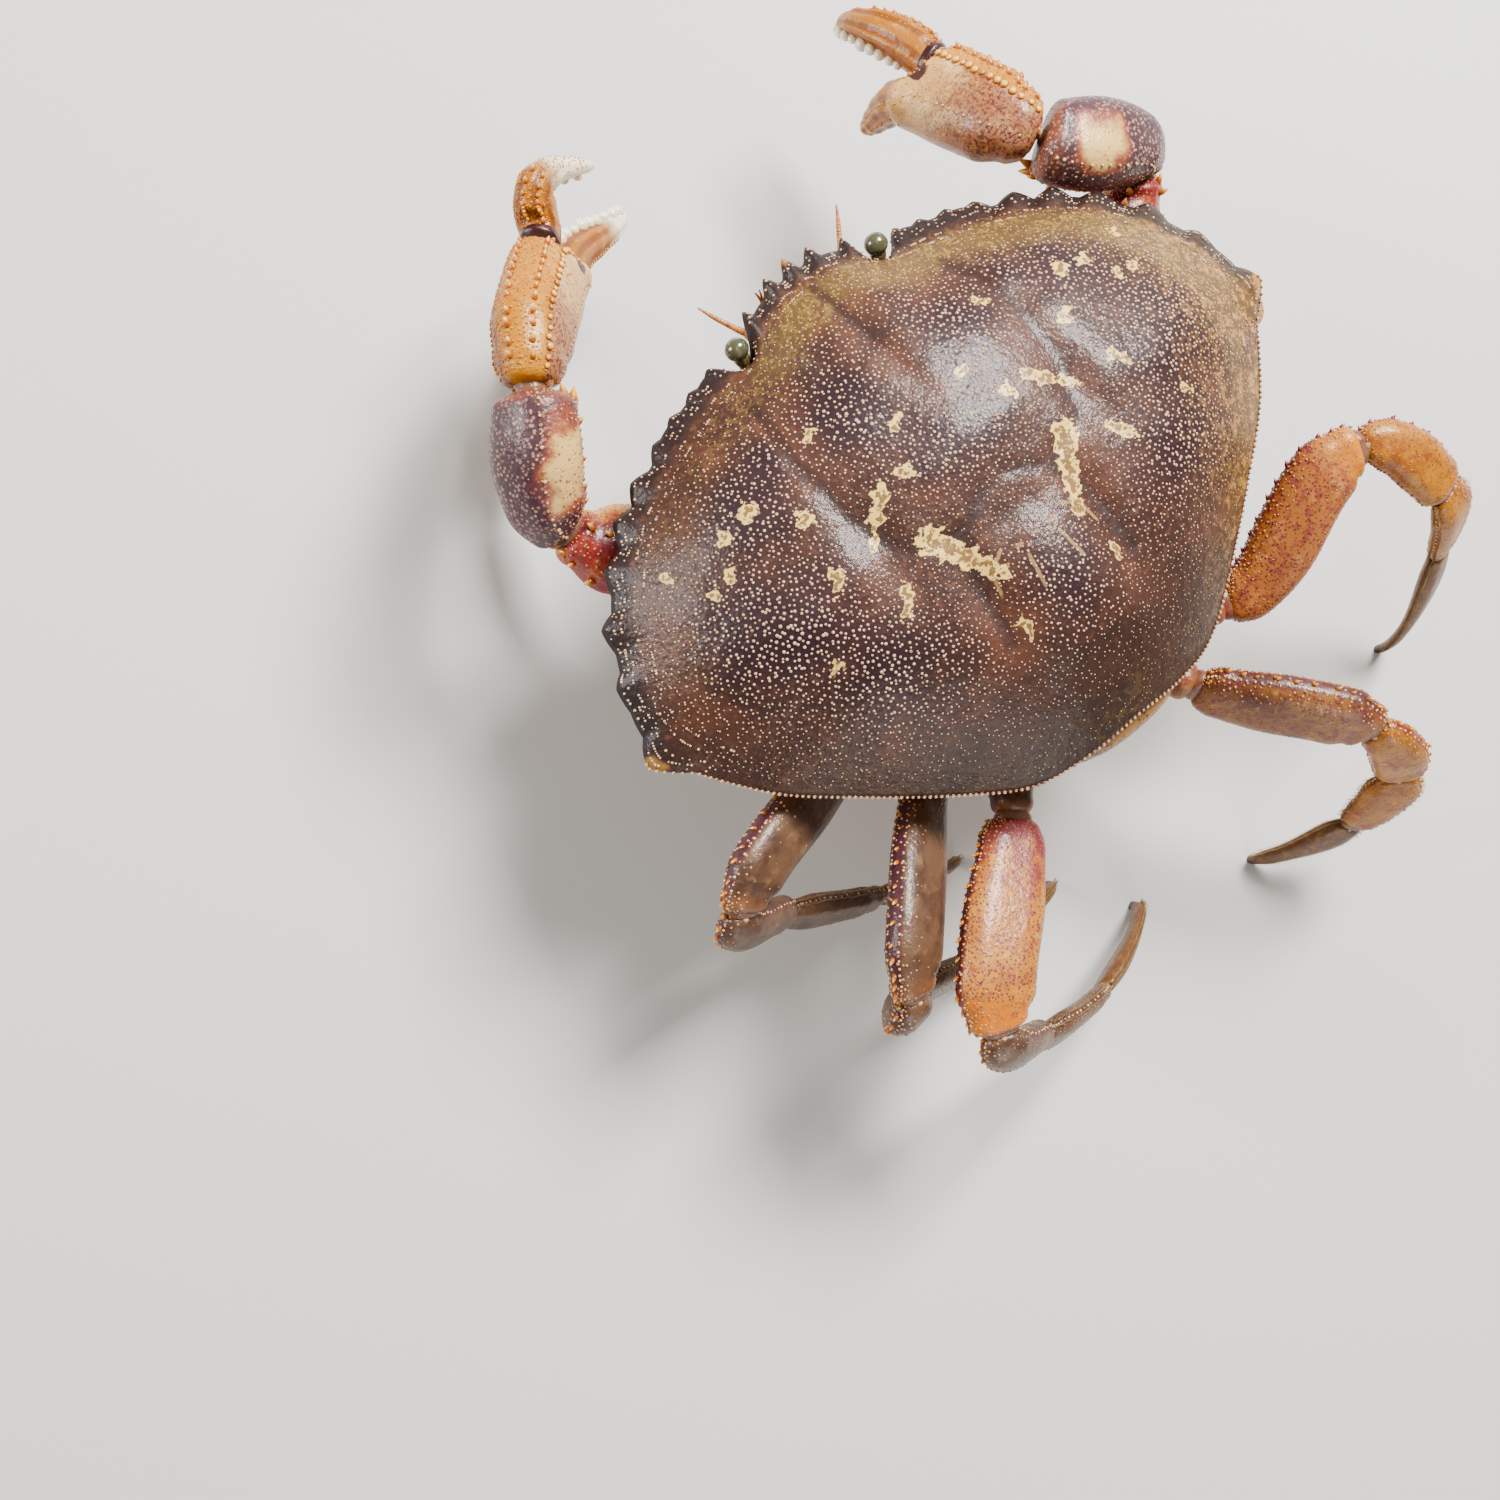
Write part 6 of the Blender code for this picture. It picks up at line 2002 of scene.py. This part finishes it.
# Where the upper edge of each leg faces
LEG_UP = {
    "leg1_left": (0.1, -0.3, 1.0), "leg2_left": (0.3, -0.8, 0.7), "leg3_left": (0.5, -0.6, 0.6),
    "leg4_left": (0.75, -0.7, 0.15), "leg1_right": (-0.1, -0.3, 1.0), "leg2_right": (0.0, -0.2, 1.0),
    "leg3_right": (0.35, -0.9, 0.25), "leg4_right": (-0.4, -0.2, 0.9),
}
# Height and thickness of merus, carpus, propodus and dactyl, by the leg's number
LEG_SIZES = {
    1: [(13.0, 8.5), (11.0, 8.0), (9.5, 6.5), (7.0, 5.0)],
    2: [(13.5, 9.0), (11.5, 8.5), (10.0, 6.5), (7.0, 5.0)],
    3: [(14.5, 9.0), (12.0, 8.5), (11.0, 6.5), (8.0, 5.0)],
    4: [(16.5, 9.0), (12.0, 8.0), (12.5, 6.0), (9.0, 4.6)],
}
# The left legs wear the grey-brown copy of the leg shell, which is painted shade; the left rear merus wears
# the sunlit copy
LEG_FINISHES = {
    "leg2_left": dict(finishes=(SHADED_LEG, SHADED_LEG, SHADED_LEG, SHADED_LEG, BROWN_TIP), flank=0.1),
    "leg3_left": dict(finishes=(SHADED_LEG, SHADED_LEG, SHADED_LEG, SHADED_LEG, BROWN_TIP), flank=0.15),
    "leg4_left": dict(finishes=(SHADED_LEG, SUN_LEG, SHADED_LEG, SHADED_LEG, BROWN_TIP), flank=0.9),
    "leg3_right": dict(finishes=(LEG, PINK_LEG, GOLD_LEG, GOLD_LEG, BROWN_TIP), spiny=RED_SPINY, flank=0.7),
    "leg2_right": dict(finishes=(LEG, PINK_LEG, GOLD_LEG, GOLD_LEG, BROWN_TIP), flank=0.5),
    "leg4_right": dict(finishes=(LEG, LEG, GOLD_LEG, GOLD_LEG, BROWN_TIP), flank=0.4),
}
PLAIN_LEG = dict(finishes=(LEG, LEG, LEG, GOLD_LEG, BROWN_TIP), flank=0.3)
# Places, facings and colouring of the claw limbs
CLAWS = {
    "left": dict(joints=[(36, -26, -23), (66.2, -50.0, -12), (56.1, -74.7, 0)], up=(0.1, -0.2, 1.0),
                 palm_end=(31.5, -98.5, -19.0), palm_up=(0.035, -0.672, 0.74), fixed_tip=(6.3, -102.3, -40.0),
                 moving_tip=(9.8, -111.1, -25.0), moving_bow=(26.6, -110.4, -12.0),
                 patch_facing=(-0.48, 0.43, 0.75), patch_span=(0.15, 0.65), pale=1.0, white=1.12,
                 finger_curl=6.0, finger_start=1.0),
    "right": dict(joints=[(-36, -25, -23), (-85.2, -36.4, -14.5), (-65.4, -54.2, -2)], up=(0.0, -0.3, 1.0),
                  palm_end=(-59.0, -82.1, -18.0), palm_up=(-0.896, -0.431, 0.117),
                  fixed_tip=(-51.1, -84.8, -38.0), moving_tip=(-60.6, -106.5, -34.0),
                  moving_bow=(-61.3, -97.0, -22.0),
                  patch_facing=(0.36, 0.25, 0.87), patch_span=(0.5, 0.65), pale=0.6, white=0.78,
                  finger_curl=-1.5, finger_start=0.55),
}


@dataclass
class Studio:
    """A pale floor, soft lights and the photo's camera."""

    camera_place: Point = (119.64, -8.49, 340.68)
    # Turns about the X, Y and Z axes in degrees, from a view straight down
    camera_turn: Point = (3.253626, -8.71911, 141.088173)
    lens: float = 40.8

    def floor(self) -> None:
        """Lay a wide plain floor."""
        half = 8.0
        mesh = bpy.data.meshes.new("studio_floor")
        corners = [(-half, -half, 0), (half, -half, 0), (half, half, 0), (-half, half, 0)]
        mesh.from_pydata(corners, [], [(0, 1, 2, 3)])
        floor = bpy.data.objects.new("studio_floor", mesh)
        bpy.context.scene.collection.objects.link(floor)
        paper = Finish("studio_paper", "#d8d6d2", (), roughness=0.8, coat=0.0, bumps=())
        mesh.materials.append(paper.material())

    def light(self, name: str, place: tuple, target: tuple, size: float, power: float) -> None:
        """Hang one square soft light that faces a point.

        Args:
            name: the light's name.
            place: where it hangs, in metres.
            target: the point that it faces.
            size: its side in metres.
            power: its power in watts.
        """
        lamp = bpy.data.lights.new(name, "AREA")
        lamp.size = size
        lamp.energy = power
        holder = bpy.data.objects.new(name, lamp)
        away = unit(np.array(place) - np.array(target))
        side = unit(np.cross((0.1, 0.9, 0.2), away))
        turn = np.eye(4)
        turn[:3, 0], turn[:3, 1], turn[:3, 2], turn[:3, 3] = side, np.cross(away, side), away, place
        holder.matrix_world = Matrix(turn.tolist())
        bpy.context.scene.collection.objects.link(holder)

    def camera(self) -> None:
        """Set the camera at the photo's place and angle."""
        data = bpy.data.cameras.new("photo_camera")
        data.lens = self.lens
        data.sensor_width = 36.0
        data.clip_start = 0.01
        holder = bpy.data.objects.new("photo_camera", data)
        holder.location = to_world(self.camera_place)
        holder.rotation_euler = [math.radians(angle) for angle in self.camera_turn]
        bpy.context.scene.collection.objects.link(holder)
        bpy.context.scene.camera = holder

    def build(self) -> None:
        """Set up floor, lights, sky and camera."""
        self.floor()
        self.light("key_light", (-0.55, -0.25, 0.85), (0, 0, 0.05), 0.36, 21.0)
        self.light("front_light", (0.85, -0.8, 0.5), (0, 0, 0.05), 0.5, 9.0)
        self.light("fill_light", (0.4, 1.0, 0.35), (0, 0, 0.05), 0.6, 3.5)
        world = bpy.data.worlds.new("studio_sky")
        world.use_nodes = True
        world.node_tree.nodes["Background"].inputs[0].default_value = (1.0, 0.97, 0.93, 1.0)
        world.node_tree.nodes["Background"].inputs[1].default_value = 0.26
        bpy.context.scene.world = world
        bpy.context.scene.view_settings.look = "AgX - Medium High Contrast"
        self.camera()


def main() -> None:
    """Build every piece, in order."""
    logging.basicConfig(level=logging.INFO, format="%(message)s")
    rng = np.random.default_rng(SEED)
    Carapace().build(rng)
    sternum = Sternum()
    sternum.build()
    Abdomen().build()
    for side, sign in (("left", 1.0), ("right", -1.0)):
        Head(side, sign).build(rng)
        Cheliped(side, sign, sternum.hip(0, sign), **CLAWS[side]).build(rng)
        for number in (1, 2, 3, 4):
            name = f"leg{number}_{side}"
            WalkingLeg(name, sternum.hip(number, sign), LEG_JOINTS[name], LEG_UP[name], LEG_SIZES[number],
                       **LEG_FINISHES.get(name, PLAIN_LEG)).build(rng)
    Studio().build()


if __name__ == "__main__":
    main()
